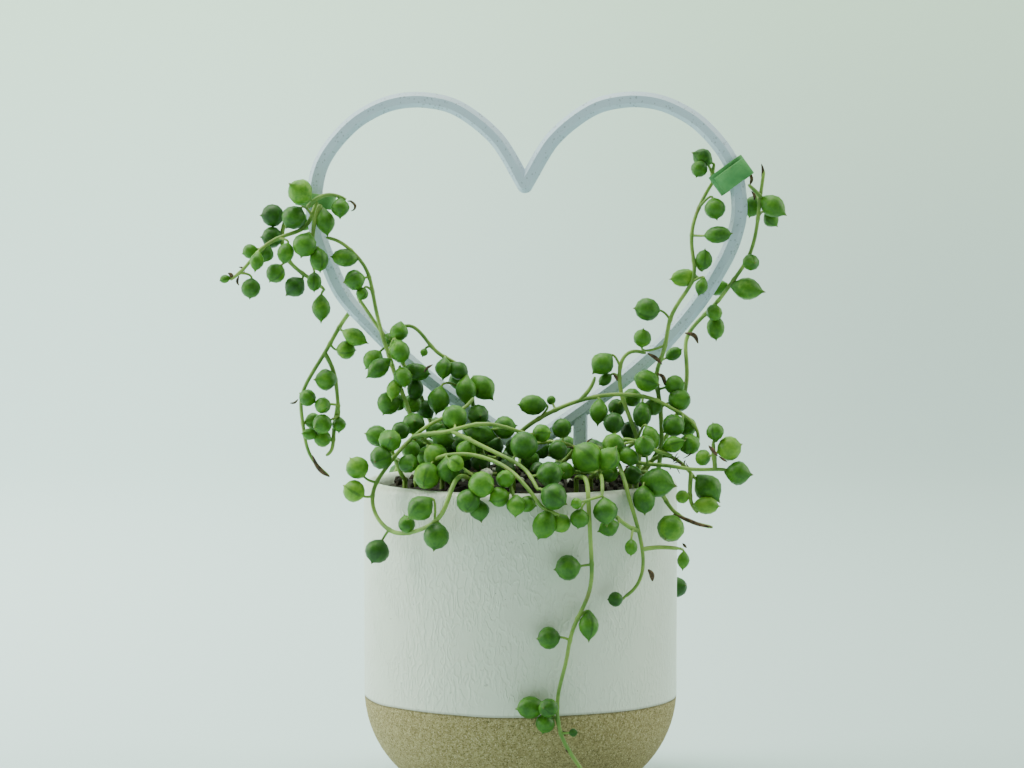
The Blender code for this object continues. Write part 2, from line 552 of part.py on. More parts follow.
      [(58.6, -21, 112.4), (58.2, -25, 106), (58, -25, 101), (58.6, -25, 99.2), (61, -25, 98.7)]],
     [(64.6, -23, 107, 4.6, 140, 1.1), (63.8, -27, 101.4, 3, 92, 1.4),
      (55.6, -27, 104.4, 2.3, None, 1)]),
    ("right_arch",
     [[(-7, -4, 112.5), (-5.5, -10, 118), (-3, -15, 123), (2, -18, 128), (7, -18, 131.2),
       (12.5, -18, 134), (18, -18, 136.3), (24, -18, 138), (30, -18, 139), (36, -18, 139.2),
       (42, -18, 138.6), (47, -18, 137.5), (52, -18, 135.4), (57, -18, 132.4), (60.4, -18, 129),
       (62.3, -18, 125.4), (62.4, -18, 122.2), (61, -18, 119.8), (58.4, -18, 118.4)],
      [(21, -18, 137.2), (24, -17, 140.4), (26, -16, 142.2), (25.8, -16, 145.6)]],
     [(4.2, -18, 135.4, 3.5, 272, 1.35), (41.6, -20, 132, 3.2, 182, 1.35),
      (52.8, -21, 128.6, 3.8, 235, 1), (57.8, -15, 127.6, 3.4, None, 1),
      (58, -22, 122, 3.7, None, 1), (46.4, -15, 134.4, 3, None, 1),
      (10.6, -15, 136.8, 1.6, None, 1), (27, -20, 133.2, 3.1, 185, 1.3)]),
    ("right_arm_inner",
     [[(47.6, -13, 111), (49, -14, 117), (49.2, -14, 122), (48.8, -14, 128), (48.4, -13, 134),
       (47.8, -12, 139), (46.8, -12, 144), (46.8, -13, 148), (48.4, -14, 151.6), (50, -15, 154.6),
       (50.7, -15, 158), (50.7, -15, 162), (51.4, -15, 165.4), (53.6, -15, 169.4),
       (56.6, -15, 173.6), (59.4, -15, 177), (60.9, -15, 180.4), (60, -14, 184.6), (59, -14, 189.6),
       (58.9, -13, 194.6), (60, -12, 199.4), (61.8, -10, 203.6), (64.2, -7, 208), (66.6, -4.5, 212),
       (70, -3, 216)],
      [(66.6, -4.5, 212), (67, -4, 216), (67.4, -5, 218.4)]],
     [(43.8, -16, 168.4, 3.9, 275, 1.1), (42, -15, 158, 3.1, 5, 1), (68, -16, 194.2, 3, 85, 1.5),
      (63.4, -14, 185.4, 2.8, 5, 1.25), (56.6, -13, 179.2, 3, 265, 1.5),
      (67.2, -13, 203.2, 3.6, 170, 1), (53.4, -14, 142, 3.4, None, 1),
      (54.4, -17, 136, 3.9, None, 1), (43.6, -16, 143.6, 3.9, 98, 1.2),
      (63.2, -6, 220.6, 3.4, None, 1), (63.8, -10, 215.4, 2.9, 200, 1),
      (62.4, -18, 176.4, 2.2, 200, 1.3), (53.6, -3, 152.6, 2.2, 60, 1.4)]),
    ("right_arm_outer",
     [[(44, -2, 111.5), (48, -6, 118), (52.5, -9, 127), (56, -10, 135), (57.8, -9, 141),
       (58.2, -7, 146.5), (57.6, -4, 152), (57, -1, 157), (60, -1, 161.4), (64.4, -3, 166),
       (68.6, -7, 170.6), (71.6, -11, 175), (74.2, -12, 179), (77, -12, 182.6), (79.2, -12, 186),
       (80.7, -12, 190.6), (81.8, -12, 196), (82.4, -12, 202), (82.9, -12, 207), (83.6, -12, 212),
       (84.2, -12, 216.4)],
      [(82.9, -12, 207), (81, -13.4, 209.8), (78.6, -15.4, 211.4)]],
     [(87.3, -12, 204, 4, 125, 1.15), (87, -8, 199.4, 2.8, 140, 1), (80.4, -6, 203.8, 3, 190, 1.2),
      (79.6, -15, 184.6, 2.9, None, 1), (78.4, -13, 175.4, 3.8, 100, 1.35),
      (68.6, -3, 175.4, 2.8, 220, 1.3), (64.2, -8, 169.2, 2.9, None, 1),
      (68, -6, 161.6, 3, 178, 1.35)]),
    ("right_loop",
     [[(40, -20, 111), (41.6, -21, 117), (40.6, -21, 123.6), (38.4, -20, 130), (36.2, -17, 135),
       (34.4, -15, 140), (34, -14, 145), (34.2, -14, 150), (35.4, -14, 153), (38, -14, 155),
       (41, -14, 154.8), (43.4, -13, 153)]],
     [(28.3, -14, 149.2, 3.8, 225, 1.05), (38.8, -10, 137.4, 3.2, None, 1),
      (33.4, -11, 134, 3, None, 1), (29.4, -12, 143.8, 1.9, 230, 1.4),
      (44.8, -25, 124.6, 3, 160, 1.4)]),
    ("right_inner",
     [[(27, -20, 112.5), (29, -24, 118), (32, -28, 123.6), (36, -30, 125.4), (40, -30, 123.8),
       (44, -30, 121.6), (48, -29, 119.6), (52, -27, 118.6)]],
     [(32, -24, 129.6, 3.7, None, 1), (31.6, -34, 123, 3.8, None, 1),
      (36.8, -36, 119.4, 3, 120, 1.3), (52.6, -26, 122.4, 2.8, 70, 1.3)]),
    ("centre_left_runner",
     [[(21, -6, 113), (20.5, -14, 118.5), (18, -21, 121.6), (13, -26, 123.4), (8, -28, 123.6),
       (3, -28, 122.4)]],
     [(14.2, -22, 127.6, 3.4, None, 1), (12.4, -32, 118.6, 3.4, None, 1),
      (-2, -30, 121.8, 3.2, None, 1), (3.6, -30, 117, 3.2, None, 1)]),
    ("centre_dark",
     [[(-4, -10, 113), (-8, -16, 116.4), (-13, -21, 118), (-18.6, -25, 117.6), (-23.5, -28, 116)]],
     [(-9.4, -23, 121.6, 3.6, None, 1), (-16, -27, 122.4, 3.4, None, 1),
      (-13.6, -29, 115, 3.4, None, 1), (-20.6, -20, 122, 3.4, None, 1),
      (-5, -20, 114.6, 3.2, None, 1)]),
    ("left_deep",
     [[(-24, -6, 112), (-28, -9, 117), (-32, -11, 121.6), (-35, -12, 124)]],
     [(-30.4, -15, 126.6, 3.5, None, 1), (-25, -14, 120, 3.4, None, 1),
      (-35.6, -6, 119.6, 3.3, None, 1), (-24.6, -6, 128, 3.4, None, 1)]),
    ("right_deep",
     [[(30, -4, 112), (34, -6, 117), (38.6, -8, 121), (42, -9, 122.6)]],
     [(38, -13, 126, 3.3, None, 1), (33.4, -12, 120.4, 3.3, None, 1),
      (43.4, -4, 119, 3.2, None, 1)]),
    ("low_left",
     [[(-36, -14, 111), (-33, -23, 112.5), (-26, -29, 113), (-18, -31, 113), (-10, -31, 113),
       (-3, -30, 112.5)]],
     [(-31, -31, 113.4, 3.4, None, 1), (-23.4, -34.5, 113.6, 3.3, None, 1),
      (-20, -25, 115.4, 3.3, None, 1), (-5, -34.6, 113.6, 3.3, None, 1)]),
    ("low_right",
     [[(4, -18, 112), (9, -27, 113), (17, -31, 113), (26, -31, 113), (35, -27, 112.5)]],
     [(5.6, -34, 113.4, 3.1, None, 1), (13.4, -36, 113.6, 3.3, None, 1),
      (21.4, -25.5, 114.6, 3.3, None, 1), (30.4, -35, 113.6, 3.2, None, 1),
      (38.6, -31, 113.4, 3.2, None, 1)]),
]

# Strands hanging over the back and the sides:
# (direction in degrees, how far the tip drifts round in degrees, drop in mm, pearls).
OVER_THE_RIM = [(40, -14, 52, 6), (64, 4, 34, 5), (90, -5, 54, 6), (116, 6, 32, 5), (141, -4, 22, 4)]
# Strands lying on the soil towards the back: (start direction, end direction, distance in mm).
ON_THE_SOIL = [(40, 85, 30), (100, 150, 34), (160, 205, 30)]


def polar(direction, distance, height):
    turn = math.radians(direction)
    return (distance * math.cos(turn), distance * math.sin(turn), height)


def rim_strand(number, direction, drift, drop, count):
    """A strand that creeps over the lip and hangs down the wall."""
    sway = 3.0 if number % 2 else -3.0
    path = [polar(direction - sway, 34, 112), polar(direction, 43, 112.4), polar(direction, 52, 112.4),
            polar(direction, 58, 109)]
    steps = max(2, round(drop / 12))
    for k in range(1, steps + 1):
        turn = direction + drift * k / steps + sway * math.sin(1.3 * k)
        path.append(polar(turn, 58.5, 109 - drop * k / steps))
    pearls = []
    for k in range(count):
        share = (k + 0.5) / count
        side = 5.2 if k % 2 else -5.2
        turn = direction + drift * share + side + sway * math.sin(1.3 * steps * share)
        x, y, z = polar(turn, 60.5, 109 - drop * share * 1.08)
        pearls.append((x, y, z, 3.9 - 0.25 * (k % 3), None, 1))
    return ("back_hang_%d" % number, [path], pearls)


def soil_strand(number, start, end, distance):
    """A strand lying across the soil."""
    path = []
    pearls = []
    for k in range(6):
        direction = start + (end - start) * k / 5
        path.append(polar(direction, distance + 2.5 * math.sin(2.2 * k), 114.0 if k else 112.0))
        if k:
            out = distance + (6.5 if k % 2 else -6.5)
            x, y, z = polar(direction - 4, out, 116.4)
            pearls.append((x, y, z, 3.7, None, 1))
    return ("soil_run_%d" % number, [path], pearls)


def place(point):
    """Carry a place laid out in mm to the sizes at the top of the file."""
    x, y, z = (v * MM for v in point)
    wide = POT_RADIUS / LAID_RADIUS
    if z <= LAID_HEIGHT:
        return Vector((x * wide, y * wide, z * POT_HEIGHT / LAID_HEIGHT))
    blend = min((z - LAID_HEIGHT) / 0.040, 1.0)
    across = wide + (HEART_WIDTH / LAID_WIDTH - wide) * blend
    high = POT_HEIGHT + (z - LAID_HEIGHT) * (1.0 + (HEART_RISE / LAID_RISE - 1.0) * blend)
    return Vector((x * across, y * (wide + (1.0 - wide) * blend), high))


def clock_direction(clock):
    turn = math.radians(clock)
    return Vector((math.sin(turn), -0.25, math.cos(turn))).normalized()


# ---------------------------------------------------------------- settling
SPACING = 1.3 * MM          # distance between the beads that stand for a stem
KEEP_OFF = 0.65 * MM        # room kept between beads of different strands


class Plant:
    """Beads standing for stems, stalks and pearls, eased apart until none touch."""

    def __init__(self, obstacles):
        self.knots = []         # movable points
        self.beads = []         # (knot a, knot b, share of b, offset, radius, strand)
        self.strands = []
        self.obstacles = obstacles

    def knot(self, point):
        self.knots.append(Vector(point))
        return len(self.knots) - 1

    def bead(self, a, b, share, offset, radius, strand):
        self.beads.append((a, b, share, Vector(offset), radius, strand))

    def add(self, number, name, stems, pearls):
        lines = []
        for index, stem in enumerate(stems):
            line = smooth_line([place(p) for p in stem], SPACING)
            ids = []
            if index:
                fork = self.nearest(lines, line[0])
                ids.append(fork)
                line = line[1:]
            for point in line:
                knot = self.knot(point)
                ids.append(knot)
                self.bead(knot, knot, 0.0, (0, 0, 0), STEM_RADIUS, number)
            lines.append(ids)
        leaves = []
        for x, y, z, radius, clock, length in pearls:
            centre = place((x, y, z))
            size = radius * MM * PEARL_SCALE
            joint = self.nearest(lines, centre)
            away = (centre - self.knots[joint]).normalized()
            point = away if clock is None else clock_direction(clock)
            if point.dot(away) < 0.0:
                point = (point + away * (0.05 - point.dot(away))).normalized()
            knot = self.knot(centre)
            half = size * length
            reach = point * half
            self.bead(knot, knot, 0.0, reach * -0.12, size, number)
            self.bead(knot, knot, 0.0, reach * 0.62, size * 0.62, number)
            self.bead(knot, knot, 0.0, reach * 1.12, size * 0.2, number)
            if length > 1.15:
                self.bead(knot, knot, 0.0, reach * -0.5, size * 0.75, number)
            for share in (0.3, 0.6):
                self.bead(joint, knot, share, (0, 0, 0), STALK_RADIUS, number)
            leaves.append((joint, knot, size, half, point))
        self.strands.append((name, lines, leaves))

    def nearest(self, lines, point):
        best = None
        for ids in lines:
            for knot in ids:
                gap = (self.knots[knot] - point).length
                if best is None or gap < best[0]:
                    best = (gap, knot)
        return best[1]

    def settle(self, rounds):
        home = np.array([tuple(k) for k in self.knots])
        spots = home.copy()
        first = np.array([b[0] for b in self.beads])
        second = np.array([b[1] for b in self.beads])
        share = np.array([b[2] for b in self.beads])[:, None]
        offset = np.array([tuple(b[3]) for b in self.beads])
        radius = np.array([b[4] for b in self.beads])
        owner = np.array([b[5] for b in self.beads])
        fixed = np.array([tuple(p) for p, r in self.obstacles])
        fixed_radius = np.array([r for p, r in self.obstacles])
        count = len(self.beads)
        chains = [np.array(ids) for name, lines, leaves in self.strands for ids in lines]
        is_stem = np.zeros(len(home), bool)
        for chain in chains:
            is_stem[chain] = True
        for step in range(rounds):
            beads = spots[first] * (1 - share) + spots[second] * share + offset
            if step % 6 == 0:
                pairs = self.close_pairs(np.vstack((beads, fixed)), owner, count)
            move = np.zeros_like(beads)
            hits = np.zeros(count)
            everything = np.vstack((beads, fixed))
            sizes = np.concatenate((radius, fixed_radius))
            a, b = pairs[:, 0], pairs[:, 1]
            apart = everything[a] - everything[b]
            distance = np.linalg.norm(apart, axis=1) + 1e-9
            overlap = sizes[a] + sizes[b] + KEEP_OFF - distance
            touching = overlap > 0
            a, b, apart, distance, overlap = (v[touching] for v in (a, b, apart, distance, overlap))
            push = apart / distance[:, None] * overlap[:, None]
            push[:, 0] *= 0.7
            push[:, 2] *= 0.7
            lone = b >= count
            push[~lone] *= 0.5
            np.add.at(move, a, push)
            np.add.at(hits, a, 1)
            pair_b = b[~lone]
            np.add.at(move, pair_b, -push[~lone])
            np.add.at(hits, pair_b, 1)
            beads_move = move / np.maximum(hits, 1)[:, None] * np.minimum(hits, 1.6)[:, None]
            beads_move += self.clear_of_pot(beads + beads_move, radius) - (beads + beads_move)
            total = np.zeros_like(spots)
            weight = np.zeros(len(spots))
            moved = np.linalg.norm(beads_move, axis=1) > 1e-9
            for ids, part in ((first, 1 - share[:, 0]), (second, share[:, 0])):
                use = moved & (part > 0.01)
                np.add.at(total, ids[use], beads_move[use] * part[use][:, None])
                np.add.at(weight, ids[use], part[use])
            shift = total / np.maximum(weight, 1e-9)[:, None]
            for chain in chains:
                if len(chain) > 4:
                    line = shift[chain]
                    for _ in range(3):
                        line[1:-1] = 0.25 * line[:-2] + 0.5 * line[1:-1] + 0.25 * line[2:]
                    shift[chain] = 0.5 * shift[chain] + 0.5 * line * 1.4
            spots = spots + shift
            if step < rounds * 0.7:
                spots += (home - spots) * np.where(is_stem, 0.004, 0.008)[:, None]
            if step > 4 and step % 3 == 0:
                for chain in chains:
                    if len(chain) > 4:
                        line = spots[chain]
                        bend = 0.5 * (line[:-2] + line[2:]) - line[1:-1]
                        spots[chain[1:-1]] += bend * 0.2
        self.knots = [Vector(tuple(p)) for p in spots]

    def close_pairs(self, points, owner, count):
        tree = kdtree.KDTree(len(points))
        for k, point in enumerate(points):
            tree.insert(point, k)
        tree.balance()
        found = []
        for k in range(count):
            for _, other, _ in tree.find_range(points[k], 11.5 * MM):
                if other > k and (other >= count or owner[other] != owner[k]):
                    found.append((k, other))
        return np.array(found)

    def clear_of_pot(self, points, radius):
        """Beads pushed out of the pot wall and up off the soil, the lip and the table."""
        out = points.copy()
        flat = np.hypot(points[:, 0], points[:, 1]) + 1e-9
        need = radius + GAP * 1.4
        dome = (SOIL_DROP + SOIL_CROWN) * (1 - np.minimum(flat / POT_INSIDE, 1.0) ** 2)
        floor = np.where(flat < POT_INSIDE, POT_HEIGHT - SOIL_DROP * 0.3 + dome, POT_HEIGHT)
        below = floor + need - points[:, 2]
        drop = np.maximum(POT_CORNER_START - points[:, 2], 0.0)
        wall = POT_RADIUS - POT_CORNER + np.sqrt(np.maximum(POT_CORNER ** 2 - drop ** 2, 0.0))
        inside = wall + need - flat
        trouble = (below > 0) & (inside > 0)
        lift = trouble & (below <= inside)
        shove = trouble & ~lift
        out[lift, 2] += below[lift]
        scale = 1 + inside[shove] / flat[shove]
        out[shove, 0] *= scale
        out[shove, 1] *= scale
        out[:, 2] = np.maximum(out[:, 2], radius + 0.0001)
        return out


def on_line(line, point):
    """The place on a line of points nearest to a point."""
    best = None
    for a, b in zip(line, line[1:]):
        span = b - a
        share = min(max((point - a).dot(span) / max(span.length_squared, 1e-12), 0.0), 1.0)
        spot = a + span * share
        if best is None or (spot - point).length < best[0]:
            best = ((spot - point).length, spot)
    return best[1]


def on_nearest(lines, point):
    """The place nearest to a point on any of several lines."""
    return min((on_line(line, point) for line in lines), key=lambda spot: (spot - point).length)


def stalk_solid(name, joint, centre):
    """The little stalk of one leaf, from inside the stem to inside the leaf."""
    return add_object(name, mesh_from(loft([joint, centre], [STALK_RADIUS * 1.2] * 2, 3), name))


def pearl_solid(name, centre, size, half, point):
    """One round leaf: a ball drawn out to a pointed tip."""
    shape = [(-1.0, 0.0), (-0.5, 0.90), (0.42, 0.94), (1.25, 0.0)]
    line = [centre + point * half * along for along, round_part in shape]
    return add_object(name, mesh_from(loft(line, [size * part for along, part in shape], 5), name))


def make_strand(plant, name, lines, leaves, material):
    strand = None
    stems = []
    for ids in lines:
        line = smooth_line([plant.knots[k] for k in ids], 4.6 * MM)
        if stems:
            line[0] = on_nearest(stems, line[0])
        stems.append(line)
        stem = add_object(name, mesh_from(loft(line, [STEM_RADIUS * 1.1] * len(line), 3), name))
        if strand is None:
            strand = stem
        else:
            join_solid(strand, stem)
    for joint, knot, size, half, point in leaves:
        start = plant.knots[joint]
        joined = on_nearest(stems, start)
        if (plant.knots[knot] - joined).length > size * 0.8:
            join_solid(strand, stalk_solid("stalk", joined, plant.knots[knot]))
        join_solid(strand, pearl_solid("pearl", plant.knots[knot], size, half, point))
    strand.name = name
    strand.data.materials.clear()
    strand.data.materials.append(material)
    return strand


# ---------------------------------------------------------------- what the plant keeps clear of
def heart_obstacles():
    """Beads along the heart and its two legs."""
    obstacles = []
    line = heart_line()
    for k, start in enumerate(line):
        end = line[(k + 1) % len(line)]
        steps = max(2, round((end - start).length / (1.8 * MM)))
        for n in range(steps):
            obstacles.append((start.lerp(end, n / steps), 0.60 * HEART_BAR))
    for side in (-1, 1):
        top = heart_point(side * LEG_SPREAD / MM * LAID_WIDTH / HEART_WIDTH, 132.0)
        for k in range(14):
            spot = Vector((top.x, top.y, POT_HEIGHT - 0.002 + (top.z - POT_HEIGHT) * k / 13))
            obstacles.append((spot, 0.62 * LEG_WIDTH))
    return obstacles


def tie_obstacles(points, up):
    """Beads over the band of a tie."""
    obstacles = []
    ring = points + [points[0]]
    for a, b in zip(ring, ring[1:]):
        for share in (0.0, 0.5):
            for k in range(-3, 4):
                obstacles.append((a.lerp(b, share) + up * k / 3, 0.8 * MM))
    return obstacles


def build():
    clear_scene()
    make_pot()
    make_heart()
    make_soil(leg_pockets())
    obstacles = heart_obstacles()
    ties = [("tie_right", heart_point(72.2, 214.6), math.radians(36), 6.6 * MM, 3.8 * MM, 7.8 * MM, 0.42),
            ("tie_left", heart_point(-74.4, 205.6), math.radians(-8), 6.6 * MM, 4.0 * MM, 5.0 * MM, 0.35)]
    for settings in ties:
        points, up = make_tie(*settings)
        obstacles.extend(tie_obstacles(points, up))
    plant = Plant(obstacles)
    recipes = list(STRANDS)
    for number, (direction, drift, drop, count) in enumerate(OVER_THE_RIM, 1):
        recipes.append(rim_strand(number, direction, drift, drop, count))
    for number, (start, end, distance) in enumerate(ON_THE_SOIL, 1):
        recipes.append(soil_strand(number, start, end, distance))
    for number, (name, stems, pearls) in enumerate(recipes):
        plant.add(number, name, stems, pearls)
    plant.settle(150)
    green = finish("pearl green", (0.10, 0.30, 0.05), 0.4)
    for name, lines, leaves in plant.strands:
        make_strand(plant, name, lines, leaves, green)


build()
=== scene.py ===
# %% [markdown]
# # A string of pearls trained up a heart
# This lesson dresses a finished solid model of a potted plant.
# The solid model already has the right sizes, and it is used for mass and collisions.
# Here each of its solids is replaced by a piece that looks like the real thing.
# The order is the pot, the soil, the heart, the two ties, and then the plant itself.

# %% Load the solid model
import math
import random
import bpy
import numpy as np
from mathutils import Matrix, Vector, kdtree, noise


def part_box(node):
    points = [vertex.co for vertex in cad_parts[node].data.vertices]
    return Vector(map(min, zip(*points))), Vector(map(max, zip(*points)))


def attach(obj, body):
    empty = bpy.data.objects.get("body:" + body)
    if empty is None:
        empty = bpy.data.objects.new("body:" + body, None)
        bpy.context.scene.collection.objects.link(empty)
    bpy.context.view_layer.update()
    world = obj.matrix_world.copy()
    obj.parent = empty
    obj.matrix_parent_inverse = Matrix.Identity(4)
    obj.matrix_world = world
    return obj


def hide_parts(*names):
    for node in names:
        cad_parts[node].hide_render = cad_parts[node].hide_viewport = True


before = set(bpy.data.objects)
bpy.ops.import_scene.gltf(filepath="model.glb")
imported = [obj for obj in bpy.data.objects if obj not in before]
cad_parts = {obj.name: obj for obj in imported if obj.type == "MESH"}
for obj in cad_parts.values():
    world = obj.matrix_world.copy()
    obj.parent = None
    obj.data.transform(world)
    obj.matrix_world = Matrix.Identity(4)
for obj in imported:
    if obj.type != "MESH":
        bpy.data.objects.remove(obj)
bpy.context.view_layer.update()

# %% [markdown]
# ## Sizes
# Everything is in metres, with the foot of the pot at the origin and the front towards -Y.
# The pot's sizes are read from the solid model. The heart and the stems repeat its own values.

# %% Sizes shared by the pieces
MM = 0.001
pot_low, pot_high = (Vector(corner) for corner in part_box("pot"))
POT_RADIUS = (pot_high.x - pot_low.x) / 2
POT_HEIGHT = pot_high.z
POT_WALL = 5.0 * MM
POT_FLOOR = 6.0 * MM
POT_CORNER = 38.0 * MM          # radius of the big round lower corner
POT_CORNER_START = 34.0 * MM    # height where the wall starts to turn in
POT_INSIDE = POT_RADIUS - POT_WALL
SOIL_DROP = 3.0 * MM            # soil below the lip at the wall
SOIL_CROWN = 4.0 * MM           # soil above the lip in the middle
GLAZE_EDGE = 32.2 * MM          # height where the glaze ends
HEART_BAR = 5.5 * MM
HEART_BOW = 2.4 * MM            # the lower left side bows out this much
BOW_MIDDLE = 171                # height of the fullest place of the bow, in mm
BOW_SPREAD = 12
HEART_DEPTH = 4.2 * MM
HEART_SHIFT = 1.5 * MM
HEART_TURN = math.radians(8)
LEG_SPREAD = 19.7 * MM
LEG_WIDTH = 4.9 * MM
LEG_FOOT = 60.0 * MM
TIE_THICK = 0.7 * MM
STEM_RADIUS = 0.75 * MM
STALK_RADIUS = 0.45 * MM
GAP = 0.3 * MM
print("pot %.1f mm across, %.1f mm tall" % (2000 * POT_RADIUS, 1000 * POT_HEIGHT))

# %% [markdown]
# ## Small helpers
# An operator works on whatever is selected, so each helper first clears the selection.
# `take` selects one object. `pick` goes into edit mode and selects vertices, edges or faces
# by a test on their place, as a person would do with a box.

# %% Selecting and finishing pieces
def drop_selection():
    bpy.ops.object.select_all(action="DESELECT")


def take(piece):
    drop_selection()
    piece.select_set(True)
    bpy.context.view_layer.objects.active = piece
    return piece


def new_piece(name):
    """The object an operator has just added, with its new name."""
    piece = bpy.context.object
    piece.name = name
    piece.data.name = name
    return piece


def added(name, operator, **settings):
    """Run an operator that adds an object, and name the object."""
    drop_selection()
    operator(**settings)
    return new_piece(name)


def copy_of(piece):
    """A second object with its own mesh, put into the scene."""
    copy = piece.copy()
    copy.data = piece.data.copy()
    bpy.context.collection.objects.link(copy)
    return copy


def pick(piece, wanted, kind="VERT"):
    """In edit mode with only the wanted vertices, edges or faces selected."""
    take(piece)
    bpy.ops.object.mode_set(mode="EDIT")
    bpy.ops.mesh.select_mode(type=kind)
    bpy.ops.mesh.select_all(action="DESELECT")
    bpy.ops.object.mode_set(mode="OBJECT")
    parts = {"VERT": piece.data.vertices, "EDGE": piece.data.edges, "FACE": piece.data.polygons}[kind]
    for part in parts:
        part.select = bool(wanted(part))
    bpy.ops.object.mode_set(mode="EDIT")


def edit_all(piece):
    """In edit mode with everything selected."""
    take(piece)
    bpy.ops.object.mode_set(mode="EDIT")
    bpy.ops.mesh.select_all(action="SELECT")


def extrude(x, y, z):
    """Extrude what is selected, and pull it this far."""
    bpy.ops.mesh.extrude_region_move(TRANSFORM_OT_translate={"value": (x, y, z)})


def leave_edit():
    bpy.ops.object.mode_set(mode="OBJECT")


def modified(piece, kind, **settings):
    """Add a modifier with its settings, and apply it."""
    modifier = piece.modifiers.new(kind.lower(), kind)
    for key, setting in settings.items():
        setattr(modifier, key, setting)
    take(piece)
    bpy.ops.object.modifier_apply(modifier=modifier.name)


def apply_place(piece):
    take(piece)
    bpy.ops.object.transform_apply(location=True, rotation=True, scale=True)


def join_into(piece, others):
    take(piece)
    for other in others:
        other.select_set(True)
    bpy.context.view_layer.objects.active = piece
    bpy.ops.object.join()
    return piece


def close_up(piece, distance=0.004 * MM):
    """Merge doubled points and turn every face outwards."""
    edit_all(piece)
    bpy.ops.mesh.remove_doubles(threshold=distance)
    bpy.ops.mesh.normals_make_consistent(inside=False)
    leave_edit()


def dress(piece, material):
    piece.data.materials.clear()
    piece.data.materials.append(material)


def finish_piece(piece, material=None, node=None):
    """Put a finished piece on the frame and hide the solid it stands for."""
    if material:
        dress(piece, material)
    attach(piece, "root")
    if node:
        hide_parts(node)
    print("  %-26s %6d faces" % (piece.name, len(piece.data.polygons)))


# %% [markdown]
# ## Writing finishes as sums
# A material is a web of nodes. Written by hand it is long, so two small classes help.
# `Value` wraps a socket that carries a number, so that `1 - mask` adds the Math node itself.
# `Finish` adds any other node from its type, its settings and what goes into its sockets.

# %% Two classes for materials
class Value:
    """A number socket that takes part in ordinary sums."""

    def __init__(self, finish, socket):
        self.finish = finish
        self.socket = socket

    def math(self, operation, *terms):
        sockets = dict(enumerate(terms))
        return self.finish.node("ShaderNodeMath", {"operation": operation}, sockets)

    def __add__(self, other):
        return self.math("ADD", self, other)

    def __radd__(self, other):
        return self.math("ADD", other, self)

    def __sub__(self, other):
        return self.math("SUBTRACT", self, other)

    def __rsub__(self, other):
        return self.math("SUBTRACT", other, self)

    def __mul__(self, other):
        return self.math("MULTIPLY", self, other)

    def __rmul__(self, other):
        return self.math("MULTIPLY", other, self)

    def size(self):
        return self.math("ABSOLUTE", self)

    def between(self, low, high):
        """0 at low, 1 at high, and smooth from one to the other."""
        return self.finish.node("ShaderNodeMapRange", {"interpolation_type": "SMOOTHSTEP"},
                                {"Value": self, "From Min": low, "From Max": high})


class Finish:
    """One material and its shader."""

    def __init__(self, name):
        self.material = bpy.data.materials.new(name)
        self.material.use_nodes = True
        self.tree = self.material.node_tree
        self.shader = self.tree.nodes["Principled BSDF"]
        self.place = self.node("ShaderNodeTexCoord", out="Object")

    def feed(self, socket, what):
        if isinstance(what, Value):
            self.tree.links.new(what.socket, socket)
        elif hasattr(socket, "default_value"):
            socket.default_value = what

    def node(self, kind, settings=None, sockets=None, out=0):
        node = self.tree.nodes.new(kind)
        for key, setting in (settings or {}).items():
            if key == "stops":
                ramp = node.color_ramp
                while len(ramp.elements) < len(setting):
                    ramp.elements.new(0.5)
                for element, (position, colour) in zip(ramp.elements, setting):
                    element.position = position
                    element.color = (*colour, 1.0)
            else:
                setattr(node, key, setting)
        for key, what in (sockets or {}).items():
            self.feed(node.inputs[key], what)
        return Value(self, node.outputs[out])

    def axis(self, letter, place=None):
        """One coordinate of the object's own place, or of another."""
        return self.node("ShaderNodeSeparateXYZ", None, {0: place or self.place}, out=letter)

    def cells(self, scale, feature="F1", where=None):
        """Distance to the middle of a cell, or to the edge between two cells."""
        return self.node("ShaderNodeTexVoronoi", {"feature": feature},
                         {"Vector": where or self.place, "Scale": scale})

    def grain(self, scale, detail=2.0, where=None, roughness=0.5):
        """Soft cloudy noise between 0 and 1."""
        sockets = {"Vector": where or self.place, "Scale": scale, "Detail": detail, "Roughness": roughness}
        return self.node("ShaderNodeTexNoise", None, sockets)

    def blend(self, mask, first, second):
        """A colour that goes from the first to the second as the mask goes from 0 to 1."""
        ends = [end if isinstance(end, Value) else (*end, 1.0) for end in (first, second)]
        return self.node("ShaderNodeMix", {"data_type": "RGBA"}, {0: mask, 6: ends[0], 7: ends[1]}, out=2)

    def stretched(self, factors, turn=(0.0, 0.0, 0.0)):
        """Object place, stretched so that a pattern can run along one direction."""
        return self.node("ShaderNodeMapping", None,
                         {"Vector": self.place, "Scale": factors, "Rotation": turn})

    def relief(self, height, depth, strength=1.0):
        bump = self.node("ShaderNodeBump", None,
                         {"Height": height, "Distance": depth, "Strength": strength})
        self.feed(self.shader.inputs["Normal"], bump)

    def set(self, **inputs):
        for key, what in inputs.items():
            self.feed(self.shader.inputs[key.replace("_", " ")], what)
        return self.material

# %% [markdown]
# ## The camera, the room and the light
# The plant stands on a pale floor that curves up into a pale wall, as in a small studio.
# The light is broad and soft, so shadows are faint and colours stay true.
# The view is almost level, from a little above the rim, and far off with a long lens,
# so the pot looks nearly as straight as in a drawing.

# %% Camera
VIEW_PLACE = (-0.003, -1.267, 0.2278)
LOOKS_DOWN = math.radians(3.9)
LENS = 127.3                    # mm, on a sensor 36 mm wide
drop_selection()
bpy.ops.object.camera_add(location=VIEW_PLACE, rotation=(math.radians(90) - LOOKS_DOWN, 0.0, 0.0))
camera = bpy.context.object
camera.name = "view"
camera.data.sensor_width = 36.0
camera.data.lens = LENS
bpy.context.scene.camera = camera
print("the camera looks down by %.1f degrees" % math.degrees(LOOKS_DOWN))

